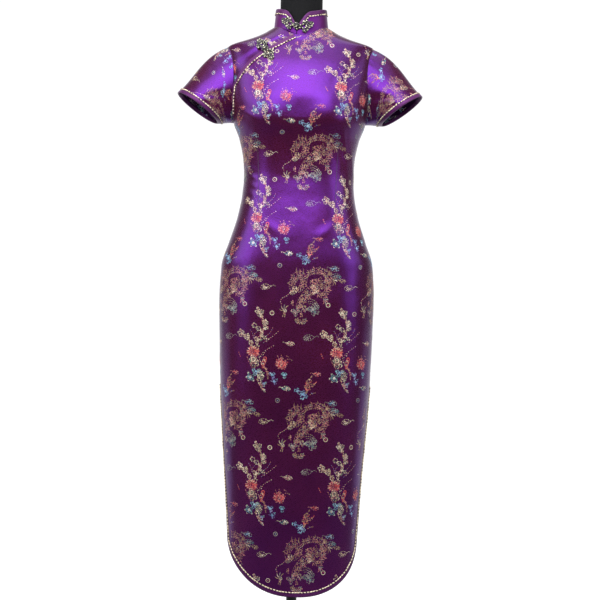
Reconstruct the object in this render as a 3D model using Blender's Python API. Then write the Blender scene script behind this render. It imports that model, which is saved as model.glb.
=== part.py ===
"""A long cheongsam of brocade satin, worn by a black limbless dress form on a stand.

Metres, +Z up. The front faces -Y, so the wearer's right is at -X.
The origin is on the floor, on the axis of the stand's pole.
"""

import math

import bmesh
import bpy
import numpy as np

# Cloth, and the gaps that keep its pieces apart
CLOTH = 0.0012
SEAM_GAP = 0.0003
UNDERLAP_GAP = 0.0011
UNDERLAP_WIDTH = 0.014

# Heights of the cut
HEM_Z = 0.100
HEM_CORNER_Z = 0.228
SLIT_TOP_Z = 0.585
UNDERARM_Z = 1.213
SHOULDER_Z = 1.393
NECK_FRONT_Z = 1.4135
NECK_SIDE_Z = 1.440

# Armholes and neck hole
ARMHOLE_FRONT = 0.048
ARMHOLE_BACK = 0.050
NECK_HALF_WIDTH = 0.0665
NECK_FRONT = 0.064
NECK_BACK = 0.058
OPENING_X = -0.0105  # where the front closure meets the neck, off centre to the wearer's right

# The cloth's outer skin in level sections, from the hem up to the neck
SECTION_COLUMNS = ("z", "half_width", "front", "back", "squareness")
SECTIONS = (
    (0.085, 0.1510, 0.086, 0.074, 2.20),
    (0.225, 0.1560, 0.091, 0.082, 2.25),
    (0.350, 0.1630, 0.096, 0.092, 2.30),
    (0.480, 0.1715, 0.102, 0.102, 2.35),
    (0.587, 0.1780, 0.107, 0.110, 2.40),
    (0.700, 0.1820, 0.112, 0.118, 2.40),
    (0.790, 0.1840, 0.115, 0.121, 2.40),
    (0.870, 0.1800, 0.114, 0.118, 2.40),
    (0.930, 0.1620, 0.110, 0.108, 2.35),
    (0.990, 0.1430, 0.103, 0.094, 2.30),
    (1.040, 0.1335, 0.097, 0.084, 2.30),
    (1.084, 0.1300, 0.094, 0.080, 2.30),
    (1.130, 0.1330, 0.098, 0.084, 2.35),
    (1.170, 0.1415, 0.106, 0.092, 2.40),
    (1.213, 0.1570, 0.117, 0.101, 2.45),
    (1.255, 0.1645, 0.117, 0.105, 2.45),
    (1.300, 0.1680, 0.109, 0.103, 2.38),
    (1.345, 0.1725, 0.095, 0.095, 2.24),
    (1.370, 0.1750, 0.0835, 0.0865, 2.12),
    (1.384, 0.1755, 0.0765, 0.0805, 2.06),
    (1.393, 0.1740, 0.0720, 0.0765, 2.02),
    (1.399, 0.1640, 0.0692, 0.0738, 2.00),
    (1.406, 0.1420, 0.0666, 0.0710, 2.00),
    (1.4135, 0.1180, 0.0640, 0.0680, 2.00),
    (1.424, 0.0930, 0.0600, 0.0640, 2.00),
    (1.434, 0.0760, 0.0560, 0.0603, 2.00),
    (1.440, 0.0665, 0.0540, 0.0580, 2.00),
    (1.452, 0.0520, 0.0500, 0.0500, 2.00),
)

# Room that the bust darts give, as two soft swellings of the front
BUST_X = 0.078
BUST_Z = 1.222
BUST_LIFT = 0.011
BUST_WIDE = 0.045
BUST_TALL = 0.048

# Edge of the overlap, from the underarm to the neck
OVERLAP_COLUMNS = ("z", "x")
OVERLAP = (
    (1.2130, -0.1720),
    (1.2700, -0.1680),
    (1.2970, -0.1560),
    (1.3150, -0.1450),
    (1.3360, -0.1310),
    (1.3540, -0.1130),
    (1.3700, -0.0913),
    (1.3820, -0.0720),
    (1.3950, -0.0505),
    (1.4050, -0.0335),
    (1.4135, -0.0175),
)

# Panel grids
PANEL_COLUMNS = 14
UNDERLAP_COLUMNS = 8
HEM_ROW_ANGLES = (80, 62, 46, 31, 15)
SKIRT_ROWS = 8
BODY_ROWS = 15
ARMHOLE_ROWS = 12
SHOULDER_ROWS = (1.399, 1.4035, 1.4085, 1.4135)
NECK_ROWS = (1.4148, 1.4180, 1.4230, 1.4285, 1.4335, 1.4370, 1.4396)
TURNING_SHARE = 0.06  # metres of skin that weigh as much as one radian of its turning
HEM_SQUARE_RIGHT_SIDE = 2.0  # hem corner at the wearer's right
HEM_SQUARE_LEFT_SIDE = 2.5
SLIT_SPREAD = math.radians(11)

# Sleeves
CUFF_TOP = (0.293, 1.282)
CUFF_BOTTOM = (0.196, 1.213)
CUFF_HALF_DEPTH = 0.053
CUFF_SLANT = 0.006
SLEEVE_PUFF = 0.011
SLEEVE_AROUND = 24
SLEEVE_ALONG = 6

# Collar
COLLAR_WALL = 0.0020
COLLAR_TOP_HALF_WIDTH = 0.0605
COLLAR_TOP_FRONT = 0.0590
COLLAR_TOP_BACK = 0.0560
COLLAR_TOP_Z = 1.484
COLLAR_FRONT_DROP = 0.017
COLLAR_BACK_RISE = 0.006
COLLAR_IN = 0.0015
COLLAR_ABOVE = 0.0005
COLLAR_OPEN_HEIGHT = 0.016
COLLAR_ROUND = 0.036
COLLAR_OPEN_GAP = 0.0010

# Bindings and the gold piping beside them
BINDING_WIDTH = 0.0090
BINDING_WALL = 0.0010
PIPING_RADIUS = 0.0009
PIPING_SIDES = 4

# Knotted closures
CORD_RADIUS = 0.0016
CORD_SIDES = 4
CORD_POINTS = 40
CLOVER_RADIUS = 0.0110
CLOVER_WAVE = 0.0036
KNOT_RADIUS = 0.0050
COLLAR_FROG_REACH = 0.0245
COLLAR_FROG_HEIGHT = 0.0180
OVERLAP_FROG_REACH = 0.0205
OVERLAP_FROG_Z = 1.3755

# Dress form and stand
FORM_BOTTOM_Z = 0.700
FORM_INSET_FRONT = CLOTH * 2 + UNDERLAP_GAP + 0.0014
FORM_INSET_BACK = CLOTH + 0.0026
FORM_NECK_RADIUS = 0.0505
FORM_NECK_TOP_Z = 1.527
# Radius and height of the neck's rings.
FORM_NECK = (
    (0.0570, 1.4330),
    (0.0525, 1.4420),
    (FORM_NECK_RADIUS, 1.4580),
    (FORM_NECK_RADIUS, FORM_NECK_TOP_Z),
)
FORM_COLUMNS = 17  # in the front half, and as many in the back
CAP_THICKNESS = 0.008
BASE_RADIUS = 0.175
BASE_THICKNESS = 0.010
HUB_RADIUS = 0.024
HUB_TOP_Z = 0.045
POLE_RADIUS = 0.0125
FLANGE_RADIUS = 0.055
FLANGE_THICKNESS = 0.008
SOCKET_RADIUS = 0.020
SOCKET_BOTTOM_Z = 0.655
TURNED_SIDES = 32

FRONT = -1
BACK = 1
PROBE = 1e-5  # step of the numeric slopes


def monotone_slopes(x, y):
    """Slopes of a curve through the points that has no bumps between them."""
    steps = np.diff(x)
    rises = np.diff(y) / steps
    slopes = np.zeros(len(x))
    slopes[0] = rises[0]
    slopes[-1] = rises[-1]
    for i in range(1, len(x) - 1):
        before, after = rises[i - 1], rises[i]
        if before * after > 0:
            near = 2 * steps[i] + steps[i - 1]
            far = steps[i] + 2 * steps[i - 1]
            slopes[i] = (near + far) / (near / before + far / after)
    return slopes


def curve(rows, names, name):
    """A table's column against its heights: places, values and slopes."""
    places = np.array([row[names.index("z")] for row in rows], float)
    values = np.array([row[names.index(name)] for row in rows], float)
    return places, values, monotone_slopes(places, values)


def read(found, at):
    """Monotone cubic through a curve's points, read at the given heights."""
    places, values, slopes = found
    at = np.clip(at, places[0], places[-1])
    i = np.clip(np.searchsorted(places, at) - 1, 0, len(places) - 2)
    step = places[i + 1] - places[i]
    t = (at - places[i]) / step
    start = (1 + 2 * t) * (1 - t) ** 2 * values[i] + t * (1 - t) ** 2 * step * slopes[i]
    end = t * t * (3 - 2 * t) * values[i + 1] - t * t * (1 - t) * step * slopes[i + 1]
    return start + end


SECTION_CURVES = {name: curve(SECTIONS, SECTION_COLUMNS, name) for name in SECTION_COLUMNS[1:]}
OVERLAP_CURVE = curve(OVERLAP, OVERLAP_COLUMNS, "x")


def section(name, z):
    """One column of the skin's sections, at any height."""
    return read(SECTION_CURVES[name], z)


def front_depth(x, z):
    across = np.exp(-(((np.abs(x) - BUST_X) / BUST_WIDE) ** 2))
    up = np.exp(-(((z - BUST_Z) / BUST_TALL) ** 2))
    return section("front", z) + BUST_LIFT * across * up


def depth(x, z, side):
    return front_depth(x, z) if side == FRONT else section("back", z)


def skin(turn, z, side):
    """Points of the outer skin. turn runs from -pi/2 at the wearer's right seam to pi/2 at the left."""
    turn, z = np.broadcast_arrays(np.asarray(turn, float), np.asarray(z, float))
    power = section("squareness", z)
    share = np.sin(turn)
    x = section("half_width", z) * share
    reach = np.maximum(1 - np.abs(share) ** power, 0) ** (1 / power)
    y = side * (depth(x, z, side) * reach + SEAM_GAP / 2)
    return np.stack([x, y, z], axis=-1)


def field(points):
    """Below zero inside the skin, zero on it and above zero outside."""
    x, y, z = points[..., 0], points[..., 1], points[..., 2]
    power = section("squareness", z)
    reach = np.where(y < 0, front_depth(x, z), section("back", z))
    inner_y = np.maximum(np.abs(y) - SEAM_GAP / 2, 0)
    wide = np.abs(x) / section("half_width", z)
    return wide**power + (inner_y / reach) ** power - 1


def slope(points):
    """Gradient of the field by central differences."""
    found = []
    for axis in range(3):
        step = np.zeros(3)
        step[axis] = PROBE
        found.append((field(points + step) - field(points - step)) / (2 * PROBE))
    return np.stack(found, axis=-1)


def outward(points):
    """Unit normals of the skin."""
    found = slope(np.asarray(points, float))
    return found / np.linalg.norm(found, axis=-1, keepdims=True)


def settle(points, lift=0.0):
    """Moves points onto the skin and then out by lift."""
    points = np.array(points, float)
    for _ in range(6):
        steep = slope(points)
        points = points - steep * (field(points) / (steep**2).sum(-1))[..., None]
    return points + outward(points) * lift


def armhole_reach(z, side):
    """How far the armhole's edge lies in front of or behind the side seam."""
    middle = (UNDERARM_Z + SHOULDER_Z) / 2
    half = (SHOULDER_Z - UNDERARM_Z) / 2
    reach = ARMHOLE_FRONT if side == FRONT else ARMHOLE_BACK
    return reach * math.sqrt(max(0.0, 1 - ((z - middle) / half) ** 2))


def side_x(y, z):
    """Half width of the skin at a distance y in front of or behind the side seam."""
    y, z = np.broadcast_arrays(np.asarray(y, float), np.asarray(z, float))
    power = section("squareness", z)
    x = section("half_width", z)
    for _ in range(4):
        reach = np.where(y < 0, front_depth(x, z), section("back", z))
        share = np.maximum(1 - (np.abs(y) / reach) ** power, 0)
        x = section("half_width", z) * share ** (1 / power)
    return x


def turn_of(x, z):
    share = x / float(section("half_width", z))
    return math.asin(max(-1.0, min(1.0, share)))


def hem_turn(z, squareness):
    """Edge of a skirt flap: the slit's edge, rounded into the hem."""
    spread = SLIT_SPREAD * max(0.0, SLIT_TOP_Z - z) / (SLIT_TOP_Z - HEM_CORNER_Z)
    edge = math.pi / 2 - min(spread, SLIT_SPREAD)
    if z >= HEM_CORNER_Z:
        return edge
    drop = (HEM_CORNER_Z - z) / (HEM_CORNER_Z - HEM_Z)
    share = max(0.0, 1 - drop**squareness) ** (1 / squareness)
    return math.asin(share * math.sin(edge))


def neck_turn(z, side):
    """Where the neckline cuts the level section at height z."""
    front = NECK_FRONT if side == FRONT else NECK_BACK
    low, high = 0.0, math.pi / 2
    for _ in range(40):
        middle = (low + high) / 2
        x, y, _ = skin(middle, z, side)
        if (x / NECK_HALF_WIDTH) ** 2 + (y / front) ** 2 < 1:
            low = middle
        else:
            high = middle
    return high


def side_edge(z, side, squareness):
    """Turn of a panel's outer edge: hem, slit, side seam, armhole or shoulder seam."""
    if z < SLIT_TOP_Z:
        return hem_turn(z, squareness)
    if UNDERARM_Z < z < SHOULDER_Z:
        return turn_of(float(side_x(side * armhole_reach(z, side), z)), z)
    return math.pi / 2


def overlap_x(z):
    return float(read(OVERLAP_CURVE, z))


def bending_heights(low, high, count):
    """Heights from low to high, close together where the side or front profile bends."""
    z = np.linspace(low, high, 400)
    measure = np.linspace(0, high - low, 400)
    for profile in (section("half_width", z), front_depth(BUST_X, z), section("back", z)):
        lean = np.arctan(np.gradient(profile, z))
        measure += TURNING_SHARE * np.cumsum(np.abs(np.gradient(lean)))
    return np.interp(np.linspace(measure[0], measure[-1], count), measure, z)


def panel_heights():
    """Levels of the panels' rows, close together where the outline turns."""
    hem_drop = HEM_CORNER_Z - HEM_Z
    hem = [HEM_CORNER_Z - hem_drop * math.sin(math.radians(a)) for a in HEM_ROW_ANGLES]
    skirt = list(np.linspace(HEM_CORNER_Z, SLIT_TOP_Z, SKIRT_ROWS, endpoint=False))
    body = list(bending_heights(SLIT_TOP_Z, UNDERARM_Z, BODY_ROWS + 1)[:-1])
    middle, half = (UNDERARM_Z + SHOULDER_Z) / 2, (SHOULDER_Z - UNDERARM_Z) / 2
    arm = [middle - half * math.cos(math.pi * k / ARMHOLE_ROWS) for k in range(ARMHOLE_ROWS + 1)]
    return hem + skirt + body + arm + list(SHOULDER_ROWS) + list(NECK_ROWS)


def front_rows():
    """Rows of the front: height, then the turns of its two edges."""
    rows = []
    for z in panel_heights():
        right = -side_edge(z, FRONT, HEM_SQUARE_RIGHT_SIDE)
        left = side_edge(z, FRONT, HEM_SQUARE_LEFT_SIDE)
        if UNDERARM_Z < z <= NECK_FRONT_Z:
            right = max(right, turn_of(overlap_x(z), z))
        if z > NECK_FRONT_Z:
            right = neck_turn(z, FRONT)
        rows.append((z, right, left))
    return rows


def underlap_rows():
    """Rows of the small right front, which reaches under the front's edge."""
    rows = []
    for z in panel_heights():
        if z < UNDERARM_Z + 0.03:
            continue
        edge = -side_edge(z, FRONT, HEM_SQUARE_RIGHT_SIDE)
        if z <= NECK_FRONT_Z:
            inner_x = float(skin(edge, z, FRONT)[0])
            under_x = max(overlap_x(z), inner_x) + UNDERLAP_WIDTH
            rows.append((z, edge, turn_of(under_x, z)))
        else:
            rows.append((z, edge, -neck_turn(z, FRONT)))
    return rows


def back_rows():
    rows = []
    for z in panel_heights():
        right = -side_edge(z, BACK, HEM_SQUARE_RIGHT_SIDE)
        left = side_edge(z, BACK, HEM_SQUARE_LEFT_SIDE)
        rows.append((z, right, left))
    return rows


def spread_turns(first, last, heights, count, side):
    """Turns from first to last, close together where the skin bends."""
    turns = np.linspace(first, last, 241)
    points = skin(turns, np.linspace(*heights, 241), side)
    steps = np.diff(points, axis=0)
    lengths = np.linalg.norm(steps, axis=1)
    heading = np.unwrap(np.arctan2(steps[:, 1], steps[:, 0]))
    bends = np.abs(np.diff(heading, prepend=heading[0]))
    measure = np.concatenate([[0], np.cumsum(lengths + TURNING_SHARE * bends)])
    return np.interp(np.linspace(0, measure[-1], count), measure, turns)


def turn_at(point):
    """Turn of a skin point in its level section."""
    return math.asin(np.clip(point[0] / section("half_width", point[2]), -1, 1))


def panel_grid(rows, columns, side, bound_hem):
    """Points of a panel on the skin, one line for each row.
    Its outer ring of cells has the width of a binding, along its lowest row only with bound_hem."""
    right = np.array([skin(row[1], row[0], side) for row in rows])
    left = np.array([skin(row[2], row[0], side) for row in rows])
    turns = spread_turns(rows[0][1], rows[0][2], (rows[0][0],) * 2, columns + 1, side)
    bottom = skin(turns, rows[0][0], side)
    border = np.concatenate([right[::-1], bottom[1:-1], left])
    along = tangents(border, closed=False)
    inner = settle(border + np.cross(outward(border), along) * (-side * BINDING_WIDTH))
    count = len(rows)
    inner_right = inner[:count][::-1]
    inner_left = inner[count + columns - 1 :]
    steep_right = np.abs(along[:count, 2])[::-1]
    grid = [bottom]
    for k in range(1, count):
        z = rows[k][0]
        first, last = turn_at(inner_right[k]), turn_at(inner_left[k])
        heights = (inner_right[k][2], inner_left[k][2])
        if z > SLIT_TOP_Z:
            diagonal = side == FRONT and z > UNDERARM_Z
            fine = skin(np.linspace(rows[k][1], rows[k][2], 400), z, side)
            run = np.concatenate([[0], np.cumsum(np.linalg.norm(np.diff(fine, axis=0), axis=1))])
            first_run = BINDING_WIDTH / (max(0.45, steep_right[k]) if diagonal else 1)
            first_run = min(first_run, run[-1] * 0.28)
            last_run = run[-1] - min(BINDING_WIDTH, run[-1] * 0.28)
            first, last = np.interp((first_run, last_run), run, np.linspace(rows[k][1], rows[k][2], 400))
            heights = (z, z)
        turns = spread_turns(first, last, heights, columns - 1, side)
        line = skin(turns, np.linspace(*heights, columns - 1), side)
        grid.append(np.concatenate([[right[k]], line, [left[k]]]))
    if bound_hem:
        grid[1][2:-2] = inner[count + 1 : count + columns - 2]
    return np.array(grid)


def cells(first_row, last_row, first_column, last_column):
    """The cells of a grid between two rows and two columns."""
    return [(r, c) for r in range(first_row, last_row) for c in range(first_column, last_column)]


def material(name, colour, roughness, metallic=0.0):
    made = bpy.data.materials.new(name)
    made.use_nodes = True
    shader = made.node_tree.nodes["Principled BSDF"]
    shader.inputs["Base Color"].default_value = (*colour, 1.0)
    shader.inputs["Roughness"].default_value = roughness
    shader.inputs["Metallic"].default_value = metallic
    return made


def mesh_object(name, points, faces, look):
    """One closed body from points and faces that all turn the same way."""
    shape = bmesh.new()
    corners = [shape.verts.new(tuple(float(c) for c in p)) for p in points]
    for face in faces:
        shape.faces.new([corners[i] for i in face])
    if shape.calc_volume(signed=True) < 0:
        bmesh.ops.reverse_faces(shape, faces=shape.faces)
    mesh = bpy.data.meshes.new(name)
    shape.to_mesh(mesh)
    shape.free()
    mesh.shade_smooth()
    mesh.set_sharp_from_angle(angle=math.radians(40))
    mesh.materials.append(look)
    made = bpy.data.objects.new(name, mesh)
    bpy.context.scene.collection.objects.link(made)
    return made


def halves(grid, r, c, width):
    """The two triangles of a grid's cell, cut along its shorter diagonal."""
    a, b, d, e = (r, c), (r, (c + 1) % width), (r + 1, (c + 1) % width), (r + 1, c)
    if np.linalg.norm(grid[a] - grid[d]) <= np.linalg.norm(grid[b] - grid[e]):
        return (a, b, d), (a, d, e)
    return (a, b, e), (b, d, e)


def wall(name, grid, outer, inner, where, look, around=False):
    """Closed wall over some cells of a grid, between outer and inner copies of its points.
    around joins each row's ends into a ring."""
    width = grid.shape[1]
    triangles = []
    for r, c in where:
        triangles.extend(halves(grid, r, c, width if around else width + 1))
    number = {}
    for triangle in triangles:
        for corner in triangle:
            number.setdefault(corner, len(number))
    count = len(number)
    faces, edges = [], set()
    for triangle in triangles:
        a, b, d = (number[corner] for corner in triangle)
        faces.append([a, b, d])
        faces.append([d + count, b + count, a + count])
        edges.update(((a, b), (b, d), (d, a)))
    for a, b in sorted(edges):
        if (b, a) not in edges:
            faces.append([b, a, a + count])
            faces.append([b, a + count, b + count])
    points = [outer[corner] for corner in number] + [inner[corner] for corner in number]
    return mesh_object(name, points, faces, look)


def tangents(points, closed):
    points = np.asarray(points)
    if closed:
        found = np.roll(points, -1, axis=0) - np.roll(points, 1, axis=0)
    else:
        found = np.gradient(points, axis=0)
    return found / np.linalg.norm(found, axis=-1, keepdims=True)


def tube(name, points, normals, radius, sides, look, closed):
    """Round cord along points. normals fix how its sides are turned."""
    along = tangents(points, closed)
    across = np.cross(along, normals)
    across /= np.linalg.norm(across, axis=-1, keepdims=True)
    up = np.cross(across, along)
    rings = []
    for k in range(sides):
        a = 2 * math.pi * (k + 0.5) / sides
        rings.append(np.asarray(points) + radius * (math.cos(a) * across + math.sin(a) * up))
    grid = np.stack(rings, axis=1)
    count = len(grid)
    faces = []
    for r in range(count if closed else count - 1):
        after = (r + 1) % count
        for k in range(sides):
            side = (k + 1) % sides
            faces.append([r * sides + k, r * sides + side, after * sides + side, after * sides + k])
    if not closed:
        faces.append(list(range(sides))[::-1])
        faces.append([(count - 1) * sides + k for k in range(sides)])
    return mesh_object(name, grid.reshape(-1, 3), faces, look)


def turned(name, profile, look, sides=TURNED_SIDES):
    """Body of revolution about the pole's axis, from its profile's radii and heights, bottom to top."""
    points = [(0.0, 0.0, profile[0][1])]
    for radius, z in profile:
        for k in range(sides):
            a = 2 * math.pi * k / sides
            points.append((radius * math.cos(a), radius * math.sin(a), z))
    points.append((0.0, 0.0, profile[-1][1]))
    faces = []
    for k in range(sides):
        after = (k + 1) % sides
        faces.append([0, 1 + after, 1 + k])
        for r in range(len(profile) - 1):
            low, high = 1 + r * sides, 1 + (r + 1) * sides
            faces.append([low + k, low + after, high + after, high + k])
        last = 1 + (len(profile) - 1) * sides
        faces.append([last + k, last + after, len(points) - 1])
    return mesh_object(name, points, faces, look)


def add_panels(look, binding, gold):
    """Front, small right front under it, and back, with their bound and piped edges."""
    for name, rows, columns, side, lift in (
        ("front", front_rows(), PANEL_COLUMNS, FRONT, 0.0),
        ("underlap", underlap_rows(), UNDERLAP_COLUMNS, FRONT, -CLOTH - UNDERLAP_GAP),
        ("back", back_rows(), PANEL_COLUMNS, BACK, 0.0),
    ):
        grid = panel_grid(rows, columns, side, name != "underlap")
        away = outward(grid)
        everything = cells(0, len(rows) - 1, 0, columns)
        wall(name, grid, grid + away * lift, grid + away * (lift - CLOTH), everything, look)
        if name == "underlap":
            continue
        top = max(k for k, row in enumerate(rows) if row[0] <= SLIT_TOP_Z)
        hem = cells(0, 1, 0, columns) + cells(1, top, 0, 1) + cells(1, top, columns - 1, columns)
        end = columns - 1
        line = [(k, 1, k, 0) for k in range(top, 0, -1)]
        line += [(1, c, 0, c) for c in range(2, end)]
        line += [(k, end, k, columns) for k in range(1, top + 1)]
        trim_edge(f"hem_{name}", grid, away, hem, line, binding, gold)
        if name == "front":
            closure = [k for k, row in enumerate(rows) if leaves_armhole(row[0]) and row[0] <= NECK_FRONT_Z]
            trim_edge(
                "overlap",
                grid,
                away,
                cells(closure[0], closure[-1], 0, 1),
                [(k, 1, k, 0) for k in closure],
                binding,
                gold,
            )


def leaves_armhole(z):
    """Whether the overlap's edge lies clear of the armhole at this height."""
    armhole_x = -float(skin(side_edge(z, FRONT, HEM_SQUARE_RIGHT_SIDE), z, FRONT)[0])
    return z > UNDERARM_Z and overlap_x(z) > armhole_x + 0.004


def trim_edge(name, grid, away, where, line, binding, gold):
    """Binding over a panel's outer ring of cells, and the piping along its inner edge.
    line gives the inner edge's places in the grid, each with its place on the panel's own edge."""
    low = grid + away * SEAM_GAP
    wall(f"binding_{name}", grid, low + away * BINDING_WALL, low, where, binding)
    beyond = 1 + (PIPING_RADIUS + SEAM_GAP * 2) / BINDING_WIDTH
    spots = [grid[er, ec] + (grid[r, c] - grid[er, ec]) * beyond for r, c, er, ec in line]
    spots = settle(np.array(spots))
    normals = outward(spots)
    centre = spots + normals * (SEAM_GAP * 1.5 + PIPING_RADIUS)
    tube(f"piping_{name}", centre, normals, PIPING_RADIUS, PIPING_SIDES, gold, closed=False)


def sleeve_points(turn, along, grow):
    """Left sleeve's surface. turn is 0 at the top and pi/2 at the front.
    along is 0 at the armhole and 1 at the cuff, and grow moves it out from its outer face."""
    turn, along = np.broadcast_arrays(np.asarray(turn, float), np.asarray(along, float))
    up, ahead = np.cos(turn), np.sin(turn)
    middle = (UNDERARM_Z + SHOULDER_Z) / 2
    half = (SHOULDER_Z - UNDERARM_Z) / 2 + CLOTH / 2 + grow
    reach = np.where(ahead > 0, ARMHOLE_FRONT, ARMHOLE_BACK) + CLOTH / 2 + grow
    base_y = -reach * ahead
    base_z = middle + half * up
    base_x = side_x(base_y, base_z) + SEAM_GAP * 1.5
    base = np.stack([base_x, base_y, base_z], axis=-1)
    top, bottom = np.array([CUFF_TOP[0], 0, CUFF_TOP[1]]), np.array([CUFF_BOTTOM[0], 0, CUFF_BOTTOM[1]])
    rise = (top - bottom) / 2
    half_cuff = np.linalg.norm(rise)
    rise_way = rise / half_cuff
    out_way = np.array([rise_way[2], 0, -rise_way[0]])
    cuff = (top + bottom) / 2 + up[..., None] * rise_way * (half_cuff + grow)
    cuff = cuff + ahead[..., None] * np.array([0, -1, 0]) * (CUFF_HALF_DEPTH + grow)
    cuff = cuff - ahead[..., None] * out_way * CUFF_SLANT
    puff = 6.75 * along * (1 - along) ** 2 * np.maximum(up, 0) ** 2 * SLEEVE_PUFF
    puff_way = np.array([rise_way[0], 0, rise_way[2]])
    return base + (cuff - base) * along[..., None] + puff[..., None] * puff_way


def sleeve_grid(grow, mirror, cuff_back):
    """Points of a whole sleeve. Its last rows lie cuff_back and nothing back from the cuff."""
    turns = np.linspace(0, 2 * math.pi, SLEEVE_AROUND, endpoint=False)
    length = np.linalg.norm(sleeve_points(turns, 1.0, 0) - sleeve_points(turns, 0.0, 0), axis=-1)
    stop = 1 - np.minimum(cuff_back / length, 0.3)
    lines = [sleeve_points(turns, stop * k / SLEEVE_ALONG, grow) for k in range(SLEEVE_ALONG + 1)]
    lines.append(sleeve_points(turns, 1.0, grow))
    return np.array(lines) * np.array([mirror, 1, 1])


def add_sleeves(cloth, binding, gold):
    """Two short sleeves, each with its bound and piped cuff."""
    last = SLEEVE_ALONG + 1
    for hand, mirror in (("left", 1), ("right", -1)):
        grid = sleeve_grid(0, mirror, BINDING_WIDTH)
        inner = sleeve_grid(-CLOTH, mirror, BINDING_WIDTH)
        wall(f"sleeve_{hand}", grid, grid, inner, cells(0, last, 0, SLEEVE_AROUND), cloth, around=True)
        low = sleeve_grid(SEAM_GAP, mirror, BINDING_WIDTH)
        high = sleeve_grid(SEAM_GAP + BINDING_WALL, mirror, BINDING_WIDTH)
        band = cells(last - 1, last, 0, SLEEVE_AROUND)
        wall(f"binding_cuff_{hand}", grid, high, low, band, binding, around=True)
        back = BINDING_WIDTH + PIPING_RADIUS + SEAM_GAP * 2
        centre = sleeve_grid(SEAM_GAP * 2 + PIPING_RADIUS, mirror, back)[-2]
        out = centre - sleeve_grid(0, mirror, back)[-2]
        tube(f"piping_cuff_{hand}", centre, out, PIPING_RADIUS, PIPING_SIDES, gold, closed=True)


def collar_base_z(turn):
    """Height of the neckline at an angle round the neck, 0 at the front and pi at the back."""
    reach = NECK_FRONT if math.cos(turn) > 0 else NECK_BACK
    x, y = NECK_HALF_WIDTH * math.sin(turn), -reach * math.cos(turn)
    low, high = SHOULDER_Z, NECK_SIDE_Z
    for _ in range(40):
        middle = (low + high) / 2
        if field(np.array([x, y, middle])) < 0:
            low = middle
        else:
            high = middle
    return low


def collar_height(turn):
    """Full height of the band at an angle round the neck, before its front corners are rounded."""
    lean = -COLLAR_FRONT_DROP if math.cos(turn) > 0 else -COLLAR_BACK_RISE
    return COLLAR_TOP_Z + lean * math.cos(turn) * abs(math.cos(turn)) - collar_base_z(turn)


def opening_turn():
    return math.asin(OPENING_X / NECK_HALF_WIDTH)


def from_opening(turn):
    """Distance round the neck from the front opening."""
    return abs((turn - opening_turn() + math.pi) % (2 * math.pi) - math.pi) * NECK_HALF_WIDTH


def collar_edge(turn):
    """Height of the band's edge: full height, rounded down at the front opening."""
    share = min(1.0, from_opening(turn) / COLLAR_ROUND)
    return COLLAR_OPEN_HEIGHT + (collar_height(turn) - COLLAR_OPEN_HEIGHT) * math.sin(math.pi / 2 * share)


def collar_point(turn, height, grow):
    """A point of the band, by its angle round the neck and its height above the neckline."""
    front = math.cos(turn) > 0
    rise = height / collar_height(turn)
    base_width = NECK_HALF_WIDTH - COLLAR_IN
    half_width = base_width + (COLLAR_TOP_HALF_WIDTH - base_width) * rise + grow
    base_reach = (NECK_FRONT if front else NECK_BACK) - COLLAR_IN
    top_reach = COLLAR_TOP_FRONT if front else COLLAR_TOP_BACK
    reach = base_reach + (top_reach - base_reach) * rise + grow
    return (half_width * math.sin(turn), -reach * math.cos(turn), collar_base_z(turn) + COLLAR_ABOVE + height)


def collar_turns():
    """Angles round the band from one front corner to the other, close together at the rounded corners."""
    gap = COLLAR_OPEN_GAP / NECK_HALF_WIDTH
    corner = COLLAR_ROUND / NECK_HALF_WIDTH
    near = [gap + (corner - gap) * k / 6 for k in range(6)]
    start = opening_turn()
    rest = np.linspace(corner, 2 * math.pi - corner, 23)
    far = [2 * math.pi - a for a in reversed(near)]
    return [start + a for a in near + list(rest) + far]


def below_edge(turns, k, width):
    """Angle and height of the place a given width in from the band's edge."""
    if k in (0, len(turns) - 1):
        return turns[k], collar_edge(turns[k]) - width * 1.25
    step = (turns[k + 1] - turns[k - 1]) * NECK_HALF_WIDTH
    rise = collar_edge(turns[k + 1]) - collar_edge(turns[k - 1])
    length = math.hypot(step, rise)
    turn = turns[k] + width * rise / length / NECK_HALF_WIDTH
    return turn, collar_edge(turns[k]) - width * step / length


def add_collar(cloth, binding, gold):
    """Standing band round the neck, open and rounded at the front, with a bound and piped edge."""
    turns = collar_turns()
    under = [below_edge(turns, k, BINDING_WIDTH) for k in range(len(turns))]

    def band(grow):
        edge = [collar_point(t, collar_edge(t), grow) for t in turns]
        lines = [edge]
        for share in (1, 0.66, 0.33, 0):
            line = []
            for turn, (low_turn, low_height) in zip(turns, under):
                line.append(collar_point(turn + (low_turn - turn) * share, low_height * share, grow))
            lines.append(line)
        return np.array(lines)

    grid = band(0)
    last = len(turns) - 1
    wall("collar", grid, grid, band(-COLLAR_WALL), cells(0, 4, 0, last), cloth)
    low, high = band(SEAM_GAP), band(SEAM_GAP + BINDING_WALL)
    wall("binding_collar", grid, high, low, cells(0, 1, 0, last), binding)
    line = [below_edge(turns, k, BINDING_WIDTH + PIPING_RADIUS + SEAM_GAP * 2) for k in range(1, last)]
    centre = np.array([collar_point(*place, SEAM_GAP * 1.5 + PIPING_RADIUS) for place in line])
    away = np.array([[math.sin(turn), -math.cos(turn), 0.0] for turn, _ in line])
    tube("piping_collar", centre, away, PIPING_RADIUS, PIPING_SIDES, gold, closed=False)


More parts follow.
